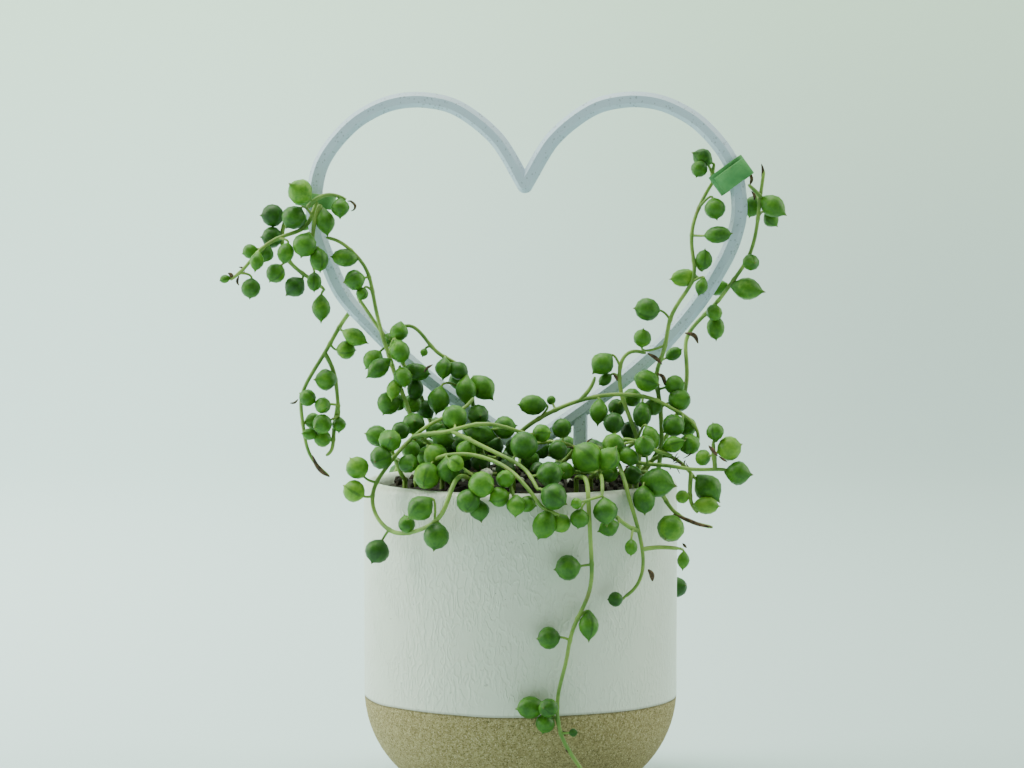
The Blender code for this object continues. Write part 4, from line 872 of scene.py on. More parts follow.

# %% [markdown]
# ## The strands of the plant
# Every strand is one stem, perhaps with forks, and a string of round leaves, the pearls.
# Their places were given strand by strand, and are the ones the solid model uses.
# A stem is a list of (x, y, z) in mm. The first runs from root to tip, later ones fork from it.
# A pearl is (x, y, z, radius, clock, length): clock is where its tip looks seen from the front
# (0 up, 90 right, 180 down, 270 left). Where clock is left out the pearl hangs off its stem,
# and where length is left out the pearl is round.

# %% Places of stems and pearls
STRANDS = [
    ("lobe_left_arc",
     [[(-71.5, 4, 205), (-73, 3, 199.5), (-76, 2, 195.5), (-80, 2, 194.6), (-84, 1, 193.2),
       (-88, 0, 191.2), (-92, 0, 188), (-95, 0, 184), (-97, 0, 181), (-99.5, 0, 179), (-101.5, 0, 178)]],
     [(-103.5, 0, 178.3, 1.5, 250, 1.2), (-94.5, 1, 175, 3.4, 185), (-92, -4, 184.6, 2.5, 190, 1.25),
      (-89.5, 5, 187, 2.9, 200), (-95, 5, 187.8, 2.6, 250), (-82, -2, 187.5, 2.9, 195, 1.2)]),
    ("lobe_left_drop",
     [[(-70.5, 3, 204), (-72, 0, 200), (-72.6, -1, 196), (-72.8, 0, 191), (-73, 2, 187), (-73, 3, 183)]],
     [(-75.4, -4, 190.3, 4.1, 195), (-79, 1, 199.3, 4.1, 215), (-68.3, 1, 198, 3.3, 170, 1.3),
      (-69.3, -2, 185.2, 3.2, 175, 1.25), (-72.4, 3, 177.2, 2.5, 180, 1.3)]),
    ("lobe_left_crown",
     [[(-74.5, 2, 203.4), (-72.5, 1, 206), (-70, 0, 207.9), (-66.5, 0, 208.6), (-63.5, 0, 208),
       (-61, 0, 206)]],
     [(-77, -2, 208.5, 4.4), (-63, -1, 203.2, 3.2, 180)]),
    ("lobe_left_back",
     [[(-79.5, 14, 203), (-82.5, 12, 200), (-84.3, 10, 196), (-84.2, 9, 190), (-83.5, 8, 186),
       (-81, 8, 183), (-78, 8, 180.5), (-75, 9, 178.8), (-71, 8, 176), (-69, 6, 174.4)]],
     [(-87.3, 10, 200.3, 3.9, 270), (-87.5, 9, 192.5, 3.6), (-86.2, 8, 180, 3.4, 215),
      (-79.5, 8, 175.2, 3.6, 225), (-70, 3, 168, 3.3, 180, 1.3), (-75.6, 14, 198, 3)]),
    ("arm_left_climber",
     [[(-33, -14, 110), (-35.5, -13, 118), (-37, -12, 125), (-38, -10, 130), (-39.3, -8, 134),
       (-41.3, -6, 139), (-43.5, -5, 143.3), (-44.7, -4, 147.5), (-46, -3, 152), (-47.5, -2, 156.5),
       (-49.2, -1, 161.5), (-50.4, 0, 166), (-51.4, 1, 171), (-52.2, 1, 176), (-53, 1, 180.5),
       (-54.6, 1, 183.6), (-57, 1, 186), (-60, 1, 189), (-62.5, 1, 191.5), (-65, 1, 193),
       (-68, 1, 193.4)]],
     [(-62.5, 0, 185.6, 3.1, 275, 1.45), (-58, -2, 178, 3.6), (-55.4, -1, 173.2, 2.2, 200),
      (-42.2, -8, 154, 3.5, 160, 1.15), (-49.4, -9, 147.6, 3.2, 232, 1.4),
      (-44.2, -11, 140.2, 2.5, 190, 1.35), (-41, -11, 144.6, 3.2, 170, 1.1), (-37, -15, 128.4, 3.8)]),
    ("arm_left_second",
     [[(-26, 6, 111), (-29, 6, 120), (-32.5, 5, 130), (-36, 4, 139), (-40, 2, 147), (-44.6, 1, 154),
       (-48.2, 0, 159), (-51.6, 1, 163.8), (-54.4, 2, 168), (-57.2, 2, 172)]],
     [(-51.6, -1, 150, 3.4, 220, 1.1), (-46.6, 4, 156.4, 2.1), (-36.8, -3, 139.8, 3, 185, 1.2),
      (-36.4, -5, 146, 3, 98, 1.5), (-33.5, 5, 132.2, 3.4), (-38, -2, 134.4, 3.2), (-43.2, 2, 134.8, 3.1),
      (-29.6, 10, 126, 3), (-46, -7, 135.4, 4, 205)]),
    ("hang_left",
     [[(-57.5, 15, 169.5), (-61.5, 13, 165), (-63.8, 11, 161.3), (-66.2, 10, 157), (-69.2, 10, 151.4),
       (-72.2, 10, 147), (-75.2, 10, 142), (-77.4, 10, 138), (-78.2, 10, 135.6), (-77.8, 10, 132),
       (-77.2, 10, 128), (-76.3, 10, 122), (-75.8, 10, 117), (-73.2, 10, 113), (-70.6, 10, 109.8),
       (-67.7, 10, 108)],
      [(-69.2, 10, 151.4), (-66.9, 10, 148.2), (-65.5, 10, 145), (-65.1, 10, 141), (-64.8, 10, 137),
       (-64.5, 10, 133), (-64.2, 10, 129.5)],
      [(-64.5, 10, 133), (-66, 12, 126), (-66.4, 10, 120), (-65.6, 9, 117), (-66.3, 9, 115),
       (-68.8, 9, 115.4)]],
     [(-58, 8, 158, 3, 115, 1.45), (-61.7, 10, 152.8, 3.3, 90), (-75.2, 8, 136, 3, 120),
      (-69.8, 7, 133.4, 2.8, 95, 1.35), (-73.4, 12, 127.4, 3), (-74.4, 7, 123.2, 2.2, 275, 1.3),
      (-64.2, 10, 126.4, 2.5, 180), (-68.7, 8, 142.4, 3.8), (-69.8, 5, 127, 3.4), (-70, 9, 121.6, 3.1)]),
    ("arm_left_arch",
     [[(-13, 2, 112), (-14, 1, 120), (-15.5, 0, 128), (-17, -1, 136), (-17.6, -1, 142), (-19.6, 0, 147),
       (-23.5, 0, 149.8), (-27, -1, 150.4), (-29.4, -1, 152), (-31.4, -1, 154.6), (-33.4, -1, 157.6),
       (-35.4, -1, 160.4), (-37.4, -1, 162.8), (-39.2, -1, 163.8), (-40.6, -1, 163), (-41.6, -1, 161.6)]],
     [(-43.2, -3, 159, 3.3, 190), (-33.8, -1, 152.6, 1.4, 200), (-26.8, -4, 147.2, 3.1, 185, 1.1),
      (-21.6, -4, 146.4, 3.2, 130, 1.1), (-19, -7, 139.8, 3.7, 180, 1.2),
      (-13.2, -3, 140.4, 4.2, 140, 1.1), (-14.8, -7, 131, 3.7), (-24.8, 4, 139.4, 3.2),
      (-28.6, -8, 136.4, 3.9, 190, 1.1)]),
    ("front_left_loop",
     [[(-17, -36, 111), (-19.5, -44, 113.4), (-22, -51.5, 113), (-24, -57, 108), (-25.4, -58, 103),
       (-27.3, -57, 99.6), (-30, -55, 97.6), (-33, -53, 96), (-37, -50, 94.4), (-40, -48, 93.6),
       (-43, -46, 93.4), (-45.4, -44, 94.8), (-48.2, -41, 97.2), (-50.2, -39, 100), (-51.2, -38, 103.4),
       (-50.9, -37, 107), (-49.6, -36, 110.6), (-47, -34, 114.2), (-44, -32, 118), (-40.6, -30, 121.8),
       (-37, -28, 125.2), (-33.6, -26, 127.8), (-30, -24, 130), (-26, -22, 131.6), (-21.5, -19, 133.2),
       (-17.6, -17, 134.6), (-16.4, -15, 137.6)],
      [(-37, -28, 125.2), (-33, -31, 126.6), (-28, -34, 126.6), (-24, -35, 127.3), (-21, -36, 128.8),
       (-18, -37, 129.9), (-14, -38, 130.6), (-10, -38, 130.7), (-7, -38, 130), (-4, -38, 128.9),
       (-1, -38, 127.7), (2.5, -38, 127)],
      [(-24, -35, 127.3), (-19, -38, 125.9), (-15, -41, 124), (-10, -44, 121.7), (-6, -46, 120.1),
       (-3, -48, 118.9), (0, -50, 117.6), (2.5, -52.5, 115.6), (4.2, -56, 112.6), (5.6, -59, 110)]],
     [(-55.7, -38, 115.4, 3.8, 325), (-56.8, -39, 107.5, 3.7, 300), (-48.8, -43, 87.4, 4, 205),
      (-38.6, -49, 97.2, 3), (-28.4, -58, 94.2, 4.2, 190, 1.05), (-33.8, -58, 103.6, 4.1, 230, 1.1),
      (-5.6, -33, 128.8, 3.8, 80), (-14, -34, 126.8, 3.6, 100, 1.4), (-22.6, -29, 132, 4.2),
      (7, -40, 127.4, 3.1), (1, -45, 123.6, 4.7), (10, -62, 107, 4.4, 120), (-18.6, -38, 121.4, 3.5),
      (9.6, -53, 114.6, 4.3), (-27.4, -30, 123, 3.4, 100, 1.1)]),
    ("left_rim",
     [[(-40, -20, 109), (-41.8, -25, 113), (-43, -28, 117.5), (-44.6, -29, 121.6), (-46.4, -28, 124.6)]],
     [(-49.2, -27, 125.4, 3.5, 282, 1.15), (-44.6, -36, 124.6, 3.8), (-41, -21, 127, 3.1),
      (-47.4, -36, 118.2, 3.9), (-38.2, -37, 116.6, 3.3), (-38, -22, 120.2, 3.2)]),
    ("front_runner",
     [[(-27, -26, 110.5), (-30, -31, 113.5), (-31, -35, 117), (-29, -38, 119), (-26, -40, 119.7),
       (-22, -42, 120.6), (-18, -43, 120.8), (-14, -45, 120), (-10, -47, 119), (-5.5, -51, 117.2),
       (-2, -55, 114.6), (1, -58, 111.6), (4, -60, 108.6), (7, -61, 105.4), (10, -61, 103),
       (12.6, -61, 101.8)]],
     [(-32, -42, 113, 4.5), (-28.6, -33, 118.6, 4.2, 190), (-24.6, -42, 114.8, 4),
      (8, -61, 98.8, 4, 205, 1.2), (13.8, -59, 98.8, 3.2)]),
    ("front_drop_left",
     [[(-12, -36, 111.5), (-14, -44, 113.4), (-15.5, -52, 113.5), (-16.6, -57.5, 110.6)]],
     [(-12.2, -60, 110.6, 4.3), (-17.6, -61, 106.4, 4), (-13.4, -58.5, 103.4, 3.3, 170),
      (-22, -50, 118, 2.8)]),
    ("front_drop_mid",
     [[(-3, -36, 112), (-4.4, -45, 113.4), (-4.4, -53, 113.4), (-3.2, -58, 110), (-2.4, -59.5, 107.6)]],
     [(-4.6, -57, 113.6, 3), (-1.6, -61.5, 104.8, 3.2, 185), (-8, -59, 108, 3.3), (3.4, -57, 106, 2.8)]),
    ("front_trail",
     [[(19, -34, 111.5), (20.6, -43, 113.4), (22, -51, 113.4), (22.6, -56.5, 109), (23, -58, 102),
       (23.2, -58, 95), (23.6, -58, 88), (24, -58, 82), (23.5, -58, 76), (21.5, -58, 71),
       (18.6, -58.5, 66), (16.6, -59, 61), (15.9, -59, 56), (15, -59, 50), (13.2, -59, 45),
       (12.2, -59, 40), (12.1, -59, 34), (12.6, -58.5, 29.6), (13.8, -58, 25.4), (16, -57, 21.4),
       (18.8, -56, 17.4), (21.6, -56, 13), (24.2, -56.5, 8.4), (27.2, -58, 4), (31, -60, 1.6),
       (35.5, -62, 1.3), (40.5, -62.5, 1.3)]],
     [(15.8, -58.5, 83.6, 4.1), (22.8, -59, 64.2, 3.3, 180, 1.35), (9.4, -59.5, 60, 3.7, 268),
      (3.2, -59, 36.4, 3.7, 266, 1.2), (9.2, -64, 37, 3.2), (8.2, -59, 31, 3.2, 195),
      (17.6, -60, 28, 1.4), (31, -54, 9, 3.4), (34, -66, 4.2, 3.6), (44.5, -61, 4.2, 3.9, 80)]),
    ("front_drop_right",
     [[(24, -30, 111.5), (26, -38, 113.6), (27, -46, 114), (27.5, -53, 112.4), (27.3, -56.6, 107.6)]],
     [(22, -44, 118.4, 5.2), (29.8, -44, 119, 4), (27.8, -58, 102.6, 4.1), (19.4, -61, 100.4, 3.1, 190),
      (18.4, -62, 105.6, 1.9), (14.4, -40, 114.4, 3)]),
    ("right_runner",
     [[(14, -10, 112.5), (17, -14, 117), (20.5, -18, 121), (24, -21, 122), (28, -24, 120.6),
       (31.4, -26, 118.4), (35, -29, 116.6), (39, -31, 115.8), (44, -32, 115.8), (49, -32, 116),
       (54, -32, 115), (59, -32, 114), (64, -32, 114.2), (68, -32, 114.8), (70.4, -32, 114.2)],
      [(67, -32, 114.6), (66.8, -32, 117.6), (65.2, -32, 121), (65.9, -32, 124)],
      [(31.4, -26, 118.4), (33.4, -34, 116.4), (35, -41, 112), (36.6, -45, 106.4), (38.4, -47, 100.4),
       (40, -47, 94.6), (41.2, -47, 89), (41.8, -47, 84), (41.4, -47, 79.6), (39.6, -48, 75.8),
       (37.4, -49, 73.2), (35, -50, 72.6)],
      [(41.2, -47, 89), (45, -46, 89.4), (50, -45, 89), (54, -44, 88.4)],
      [(40, -47, 94.6), (37.6, -49, 95), (34.4, -50, 97.6), (31.6, -51, 100.6)]],
     [(74.4, -32, 113, 4.1, 95), (66.5, -32, 127.2, 3, 345), (71.4, -31, 121.4, 4.1, 70),
      (32, -51, 72, 2.5, 270), (55.2, -44, 84.4, 2.1, 185, 1.35), (37.2, -52, 89.8, 2.1, 182, 1.25),
      (29.6, -53, 96.6, 3, 250, 1.1), (62.6, -28, 118, 2.8), (41.8, -38, 122.6, 3.6)]),
    ("right_brown_tip",
     [[(38, -16, 110.5), (42.5, -22, 113), (46, -28, 112), (48, -34, 107), (50, -37, 102.4),
       (52.6, -38, 99.4), (56.5, -38, 97.2), (61, -38, 95.8), (65.5, -38, 95)]],
     [(51, -42, 95.2, 4.6), (46.6, -40, 110.6, 5, 105, 1.1), (41.4, -44, 105, 3.8, 175, 1.2)]),
    ("right_rim_end",
     [[(42, -4, 111), (46.5, -10, 116.5), (51, -15, 118), (55.5, -19, 115.8), (58.6, -21, 112.4),
       (60.4, -22, 110)],
      [(58.6, -21, 112.4), (58.2, -25, 106), (58, -25, 101), (58.6, -25, 99.2), (61, -25, 98.7)]],
     [(64.6, -23, 107, 4.6, 140, 1.1), (63.8, -27, 101.4, 3, 92, 1.4), (55.6, -27, 104.4, 2.3)]),
    ("right_arch",
     [[(-7, -4, 112.5), (-5.5, -10, 118), (-3, -15, 123), (2, -18, 128), (7, -18, 131.2),
       (12.5, -18, 134), (18, -18, 136.3), (24, -18, 138), (30, -18, 139), (36, -18, 139.2),
       (42, -18, 138.6), (47, -18, 137.5), (52, -18, 135.4), (57, -18, 132.4), (60.4, -18, 129),
       (62.3, -18, 125.4), (62.4, -18, 122.2), (61, -18, 119.8), (58.4, -18, 118.4)],
      [(21, -18, 137.2), (24, -17, 140.4), (26, -16, 142.2), (25.8, -16, 145.6)]],
     [(4.2, -18, 135.4, 3.5, 272, 1.35), (41.6, -20, 132, 3.2, 182, 1.35), (52.8, -21, 128.6, 3.8, 235),
      (57.8, -15, 127.6, 3.4), (58, -22, 122, 3.7), (46.4, -15, 134.4, 3), (10.6, -15, 136.8, 1.6),
      (27, -20, 133.2, 3.1, 185, 1.3)]),
    ("right_arm_inner",
     [[(47.6, -13, 111), (49, -14, 117), (49.2, -14, 122), (48.8, -14, 128), (48.4, -13, 134),
       (47.8, -12, 139), (46.8, -12, 144), (46.8, -13, 148), (48.4, -14, 151.6), (50, -15, 154.6),
       (50.7, -15, 158), (50.7, -15, 162), (51.4, -15, 165.4), (53.6, -15, 169.4), (56.6, -15, 173.6),
       (59.4, -15, 177), (60.9, -15, 180.4), (60, -14, 184.6), (59, -14, 189.6), (58.9, -13, 194.6),
       (60, -12, 199.4), (61.8, -10, 203.6), (64.2, -7, 208), (66.6, -4.5, 212), (70, -3, 216)],
      [(66.6, -4.5, 212), (67, -4, 216), (67.4, -5, 218.4)]],
     [(43.8, -16, 168.4, 3.9, 275, 1.1), (42, -15, 158, 3.1, 5), (68, -16, 194.2, 3, 85, 1.5),
      (63.4, -14, 185.4, 2.8, 5, 1.25), (56.6, -13, 179.2, 3, 265, 1.5), (67.2, -13, 203.2, 3.6, 170),
      (53.4, -14, 142, 3.4), (54.4, -17, 136, 3.9), (43.6, -16, 143.6, 3.9, 98, 1.2),
      (63.2, -6, 220.6, 3.4), (63.8, -10, 215.4, 2.9, 200), (62.4, -18, 176.4, 2.2, 200, 1.3),
      (53.6, -3, 152.6, 2.2, 60, 1.4)]),
    ("right_arm_outer",
     [[(44, -2, 111.5), (48, -6, 118), (52.5, -9, 127), (56, -10, 135), (57.8, -9, 141),
       (58.2, -7, 146.5), (57.6, -4, 152), (57, -1, 157), (60, -1, 161.4), (64.4, -3, 166),
       (68.6, -7, 170.6), (71.6, -11, 175), (74.2, -12, 179), (77, -12, 182.6), (79.2, -12, 186),
       (80.7, -12, 190.6), (81.8, -12, 196), (82.4, -12, 202), (82.9, -12, 207), (83.6, -12, 212),
       (84.2, -12, 216.4)],
      [(82.9, -12, 207), (81, -13.4, 209.8), (78.6, -15.4, 211.4)]],
     [(87.3, -12, 204, 4, 125, 1.15), (87, -8, 199.4, 2.8, 140), (80.4, -6, 203.8, 3, 190, 1.2),
      (79.6, -15, 184.6, 2.9), (78.4, -13, 175.4, 3.8, 100, 1.35), (68.6, -3, 175.4, 2.8, 220, 1.3),
      (64.2, -8, 169.2, 2.9), (68, -6, 161.6, 3, 178, 1.35)]),
    ("right_loop",
     [[(40, -20, 111), (41.6, -21, 117), (40.6, -21, 123.6), (38.4, -20, 130), (36.2, -17, 135),
       (34.4, -15, 140), (34, -14, 145), (34.2, -14, 150), (35.4, -14, 153), (38, -14, 155),
       (41, -14, 154.8), (43.4, -13, 153)]],
     [(28.3, -14, 149.2, 3.8, 225, 1.05), (38.8, -10, 137.4, 3.2), (33.4, -11, 134, 3),
      (29.4, -12, 143.8, 1.9, 230, 1.4), (44.8, -25, 124.6, 3, 160, 1.4)]),
    ("right_inner",
     [[(27, -20, 112.5), (29, -24, 118), (32, -28, 123.6), (36, -30, 125.4), (40, -30, 123.8),
       (44, -30, 121.6), (48, -29, 119.6), (52, -27, 118.6)]],
     [(32, -24, 129.6, 3.7), (31.6, -34, 123, 3.8), (36.8, -36, 119.4, 3, 120, 1.3),
      (52.6, -26, 122.4, 2.8, 70, 1.3)]),
    ("centre_left_runner",
     [[(21, -6, 113), (20.5, -14, 118.5), (18, -21, 121.6), (13, -26, 123.4), (8, -28, 123.6),
       (3, -28, 122.4)]],
     [(14.2, -22, 127.6, 3.4), (12.4, -32, 118.6, 3.4), (-2, -30, 121.8, 3.2), (3.6, -30, 117, 3.2)]),
    ("centre_dark",
     [[(-4, -10, 113), (-8, -16, 116.4), (-13, -21, 118), (-18.6, -25, 117.6), (-23.5, -28, 116)]],
     [(-9.4, -23, 121.6, 3.6), (-16, -27, 122.4, 3.4), (-13.6, -29, 115, 3.4), (-20.6, -20, 122, 3.4),
      (-5, -20, 114.6, 3.2)]),
    ("left_deep",
     [[(-24, -6, 112), (-28, -9, 117), (-32, -11, 121.6), (-35, -12, 124)]],
     [(-30.4, -15, 126.6, 3.5), (-25, -14, 120, 3.4), (-35.6, -6, 119.6, 3.3), (-24.6, -6, 128, 3.4)]),
    ("right_deep",
     [[(30, -4, 112), (34, -6, 117), (38.6, -8, 121), (42, -9, 122.6)]],
     [(38, -13, 126, 3.3), (33.4, -12, 120.4, 3.3), (43.4, -4, 119, 3.2)]),
    ("low_left",
     [[(-36, -14, 111), (-33, -23, 112.5), (-26, -29, 113), (-18, -31, 113), (-10, -31, 113),
       (-3, -30, 112.5)]],
     [(-31, -31, 113.4, 3.4), (-23.4, -34.5, 113.6, 3.3), (-20, -25, 115.4, 3.3),
      (-5, -34.6, 113.6, 3.3)]),
    ("low_right",
     [[(4, -18, 112), (9, -27, 113), (17, -31, 113), (26, -31, 113), (35, -27, 112.5)]],
     [(5.6, -34, 113.4, 3.1), (13.4, -36, 113.6, 3.3), (21.4, -25.5, 114.6, 3.3), (30.4, -35, 113.6, 3.2),
      (38.6, -31, 113.4, 3.2)]),
]


# %% Strands at the back and on the soil
# Over the rim: direction, drift, drop in mm and number of pearls. On the soil: start, end, distance.
OVER_THE_RIM = [(40, -14, 52, 6), (64, 4, 34, 5), (90, -5, 54, 6), (116, 6, 32, 5), (141, -4, 22, 4)]
ON_THE_SOIL = [(40, 85, 30), (100, 150, 34), (160, 205, 30)]


def polar(direction, distance, height):
    turn = math.radians(direction)
    return (distance * math.cos(turn), distance * math.sin(turn), height)


def rim_strand(number, direction, drift, drop, count):
    """A strand that creeps over the lip and hangs down the wall."""
    sway = 3.0 if number % 2 else -3.0
    path = [polar(direction - sway, 34, 112), polar(direction, 43, 112.4), polar(direction, 52, 112.4),
            polar(direction, 58, 109)]
    steps = max(2, round(drop / 12))
    for k in range(1, steps + 1):
        turn = direction + drift * k / steps + sway * math.sin(1.3 * k)
        path.append(polar(turn, 58.5, 109 - drop * k / steps))
    pearls = []
    for k in range(count):
        share = (k + 0.5) / count
        side = 5.2 if k % 2 else -5.2
        turn = direction + drift * share + side + sway * math.sin(1.3 * steps * share)
        x, y, z = polar(turn, 60.5, 109 - drop * share * 1.08)
        pearls.append((x, y, z, 3.9 - 0.25 * (k % 3)))
    return ("back_hang_%d" % number, [path], pearls)


def soil_strand(number, start, end, distance):
    """A strand lying across the soil."""
    path = []
    pearls = []
    for k in range(6):
        direction = start + (end - start) * k / 5
        path.append(polar(direction, distance + 2.5 * math.sin(2.2 * k), 114.0 if k else 112.0))
        if k:
            out = distance + (6.5 if k % 2 else -6.5)
            pearls.append((*polar(direction - 4, out, 116.4), 3.7))
    return ("soil_run_%d" % number, [path], pearls)


recipes = list(STRANDS)
for number, settings in enumerate(OVER_THE_RIM, 1):
    recipes.append(rim_strand(number, *settings))
for number, settings in enumerate(ON_THE_SOIL, 1):
    recipes.append(soil_strand(number, *settings))
print("strands:", len(recipes), " pearls:", sum(len(pearls) for _, _, pearls in recipes))

# %% [markdown]
# ## Easing the strands apart
# Places laid out one by one always cross here and there, and two leaves can't share one space.
# So each stem becomes a chain of small beads and each pearl a few larger ones.
# Beads of different strands that touch push each other away, a little at a time.
# The heart, the ties and the pot are fixed beads or walls that push but never move.

# %% Beads that push each other apart
SPACING = 1.3 * MM          # distance between the beads that stand for a stem
KEEP_OFF = 0.65 * MM        # room kept between beads of different strands
USUAL_AIM = [None, 1]       # clock and length of a pearl that gives neither


def clock_direction(clock):
    turn = math.radians(clock)
    return Vector((math.sin(turn), -0.25, math.cos(turn))).normalized()


def place(point):
    """A place laid out in mm, in metres."""
    return Vector(point) * MM


class Plant:
    """Beads standing for stems, stalks and pearls, eased apart until none touch."""

    def __init__(self, obstacles):
        self.knots = []         # movable points
        self.beads = []         # (knot a, knot b, share of b, offset, radius, strand)
        self.strands = []
        self.obstacles = obstacles

    def knot(self, point):
        self.knots.append(Vector(point))
        return len(self.knots) - 1

    def bead(self, a, b, share, offset, radius, strand):
        self.beads.append((a, b, share, Vector(offset), radius, strand))

    def add(self, number, name, stems, pearls):
        lines = []
        for index, stem in enumerate(stems):
            line = smooth_line([place(p) for p in stem], SPACING)
            ids = []
            if index:
                fork = self.nearest(lines, line[0])
                ids.append(fork)
                line = line[1:]
            for point in line:
                knot = self.knot(point)
                ids.append(knot)
                self.bead(knot, knot, 0.0, (0, 0, 0), STEM_RADIUS, number)
            lines.append(ids)
        leaves = []
        for x, y, z, radius, *aim in pearls:
            clock, length = aim + USUAL_AIM[len(aim):]
            centre = place((x, y, z))
            size = radius * MM
            joint = self.nearest(lines, centre)
            away = (centre - self.knots[joint]).normalized()
            point = away if clock is None else clock_direction(clock)
            if point.dot(away) < 0.0:
                point = (point + away * (0.05 - point.dot(away))).normalized()
            knot = self.knot(centre)
            half = size * length
            reach = point * half
            self.bead(knot, knot, 0.0, reach * -0.12, size, number)
            self.bead(knot, knot, 0.0, reach * 0.62, size * 0.62, number)
            self.bead(knot, knot, 0.0, reach * 1.12, size * 0.2, number)
            if length > 1.15:
                self.bead(knot, knot, 0.0, reach * -0.5, size * 0.75, number)
            for share in (0.3, 0.6):
                self.bead(joint, knot, share, (0, 0, 0), STALK_RADIUS, number)
            leaves.append((joint, knot, size, half, point))
        self.strands.append((name, lines, leaves))

    def nearest(self, lines, point):
        best = None
        for ids in lines:
            for knot in ids:
                gap = (self.knots[knot] - point).length
                if best is None or gap < best[0]:
                    best = (gap, knot)
        return best[1]

    def settle(self, rounds):
        home = np.array([tuple(k) for k in self.knots])
        spots = home.copy()
        first = np.array([b[0] for b in self.beads])
        second = np.array([b[1] for b in self.beads])
        share = np.array([b[2] for b in self.beads])[:, None]
        offset = np.array([tuple(b[3]) for b in self.beads])
        radius = np.array([b[4] for b in self.beads])
        owner = np.array([b[5] for b in self.beads])
        fixed = np.array([tuple(p) for p, r in self.obstacles])
        fixed_radius = np.array([r for p, r in self.obstacles])
        count = len(self.beads)
        chains = [np.array(ids) for name, lines, leaves in self.strands for ids in lines]
        is_stem = np.zeros(len(home), bool)
        for chain in chains:
            is_stem[chain] = True
        for step in range(rounds):
            beads = spots[first] * (1 - share) + spots[second] * share + offset
            if step % 6 == 0:
                pairs = self.close_pairs(np.vstack((beads, fixed)), owner, count)
            move = np.zeros_like(beads)
            hits = np.zeros(count)
            everything = np.vstack((beads, fixed))
            sizes = np.concatenate((radius, fixed_radius))
            a, b = pairs[:, 0], pairs[:, 1]
            apart = everything[a] - everything[b]
            distance = np.linalg.norm(apart, axis=1) + 1e-9
            overlap = sizes[a] + sizes[b] + KEEP_OFF - distance
            touching = overlap > 0
            a, b, apart, distance, overlap = (v[touching] for v in (a, b, apart, distance, overlap))
            push = apart / distance[:, None] * overlap[:, None]
            push[:, 0] *= 0.7
            push[:, 2] *= 0.7
            lone = b >= count
            push[~lone] *= 0.5
            np.add.at(move, a, push)
            np.add.at(hits, a, 1)
            pair_b = b[~lone]
            np.add.at(move, pair_b, -push[~lone])
            np.add.at(hits, pair_b, 1)
            beads_move = move / np.maximum(hits, 1)[:, None] * np.minimum(hits, 1.6)[:, None]
            beads_move += self.clear_of_pot(beads + beads_move, radius) - (beads + beads_move)
            total = np.zeros_like(spots)
            weight = np.zeros(len(spots))
            moved = np.linalg.norm(beads_move, axis=1) > 1e-9
            for ids, part in ((first, 1 - share[:, 0]), (second, share[:, 0])):
                use = moved & (part > 0.01)
                np.add.at(total, ids[use], beads_move[use] * part[use][:, None])
                np.add.at(weight, ids[use], part[use])
            shift = total / np.maximum(weight, 1e-9)[:, None]
            for chain in chains:
                if len(chain) > 4:
                    line = shift[chain]
                    for _ in range(3):
                        line[1:-1] = 0.25 * line[:-2] + 0.5 * line[1:-1] + 0.25 * line[2:]
                    shift[chain] = 0.5 * shift[chain] + 0.5 * line * 1.4
            spots = spots + shift
            if step < rounds * 0.7:
                spots += (home - spots) * np.where(is_stem, 0.004, 0.008)[:, None]
            if step > 4 and step % 3 == 0:
                for chain in chains:
                    if len(chain) > 4:
                        line = spots[chain]
                        bend = 0.5 * (line[:-2] + line[2:]) - line[1:-1]
                        spots[chain[1:-1]] += bend * 0.2
        self.knots = [Vector(tuple(p)) for p in spots]

    def close_pairs(self, points, owner, count):
        tree = kdtree.KDTree(len(points))
        for k, point in enumerate(points):
            tree.insert(point, k)
        tree.balance()
        found = []
        for k in range(count):
            for _, other, _ in tree.find_range(points[k], 11.5 * MM):
                if other > k and (other >= count or owner[other] != owner[k]):
                    found.append((k, other))
        return np.array(found)

    def clear_of_pot(self, points, radius):
        """Beads pushed out of the pot wall and up off the soil, the lip and the table."""
        out = points.copy()
        flat = np.hypot(points[:, 0], points[:, 1]) + 1e-9
        need = radius + GAP * 1.4
        dome = (SOIL_DROP + SOIL_CROWN) * (1 - np.minimum(flat / POT_INSIDE, 1.0) ** 2)
        floor = np.where(flat < POT_INSIDE, POT_HEIGHT - SOIL_DROP * 0.3 + dome, POT_HEIGHT)
        below = floor + need - points[:, 2]
        drop = np.maximum(POT_CORNER_START - points[:, 2], 0.0)
        wall = POT_RADIUS - POT_CORNER + np.sqrt(np.maximum(POT_CORNER ** 2 - drop ** 2, 0.0))
        inside = wall + need - flat
        trouble = (below > 0) & (inside > 0)
        lift = trouble & (below <= inside)
        shove = trouble & ~lift
        out[lift, 2] += below[lift]
        scale = 1 + inside[shove] / flat[shove]
        out[shove, 0] *= scale
        out[shove, 1] *= scale
        out[:, 2] = np.maximum(out[:, 2], radius + 0.0001)
        return out


# %% [markdown]
# The heart, its legs and the two ties are lined with fixed beads for the plant to keep clear of.

# %% What the plant keeps clear of
def heart_obstacles():
    """Beads along the heart and its two legs."""
    right = [heart_point(x, z) for x, z in HEART_HALF]
    left = [heart_point(-x - bow(z * MM) / MM, z) for x, z in HEART_HALF[1:-1]]
    line = right + left[::-1]
    beads = []
    for k, start in enumerate(line):
        end = line[(k + 1) % len(line)]
        steps = max(2, round((end - start).length / (1.8 * MM)))
        for n in range(steps):
            beads.append((start.lerp(end, n / steps), 0.60 * HEART_BAR))
    for side in (-1, 1):
        top = heart_point(side * LEG_SPREAD / MM, LEG_TOP)
        for k in range(14):
            spot = Vector((top.x, top.y, POT_HEIGHT - 2 * MM + (top.z - POT_HEIGHT) * k / 13))
            beads.append((spot, 0.62 * LEG_WIDTH))
    return beads


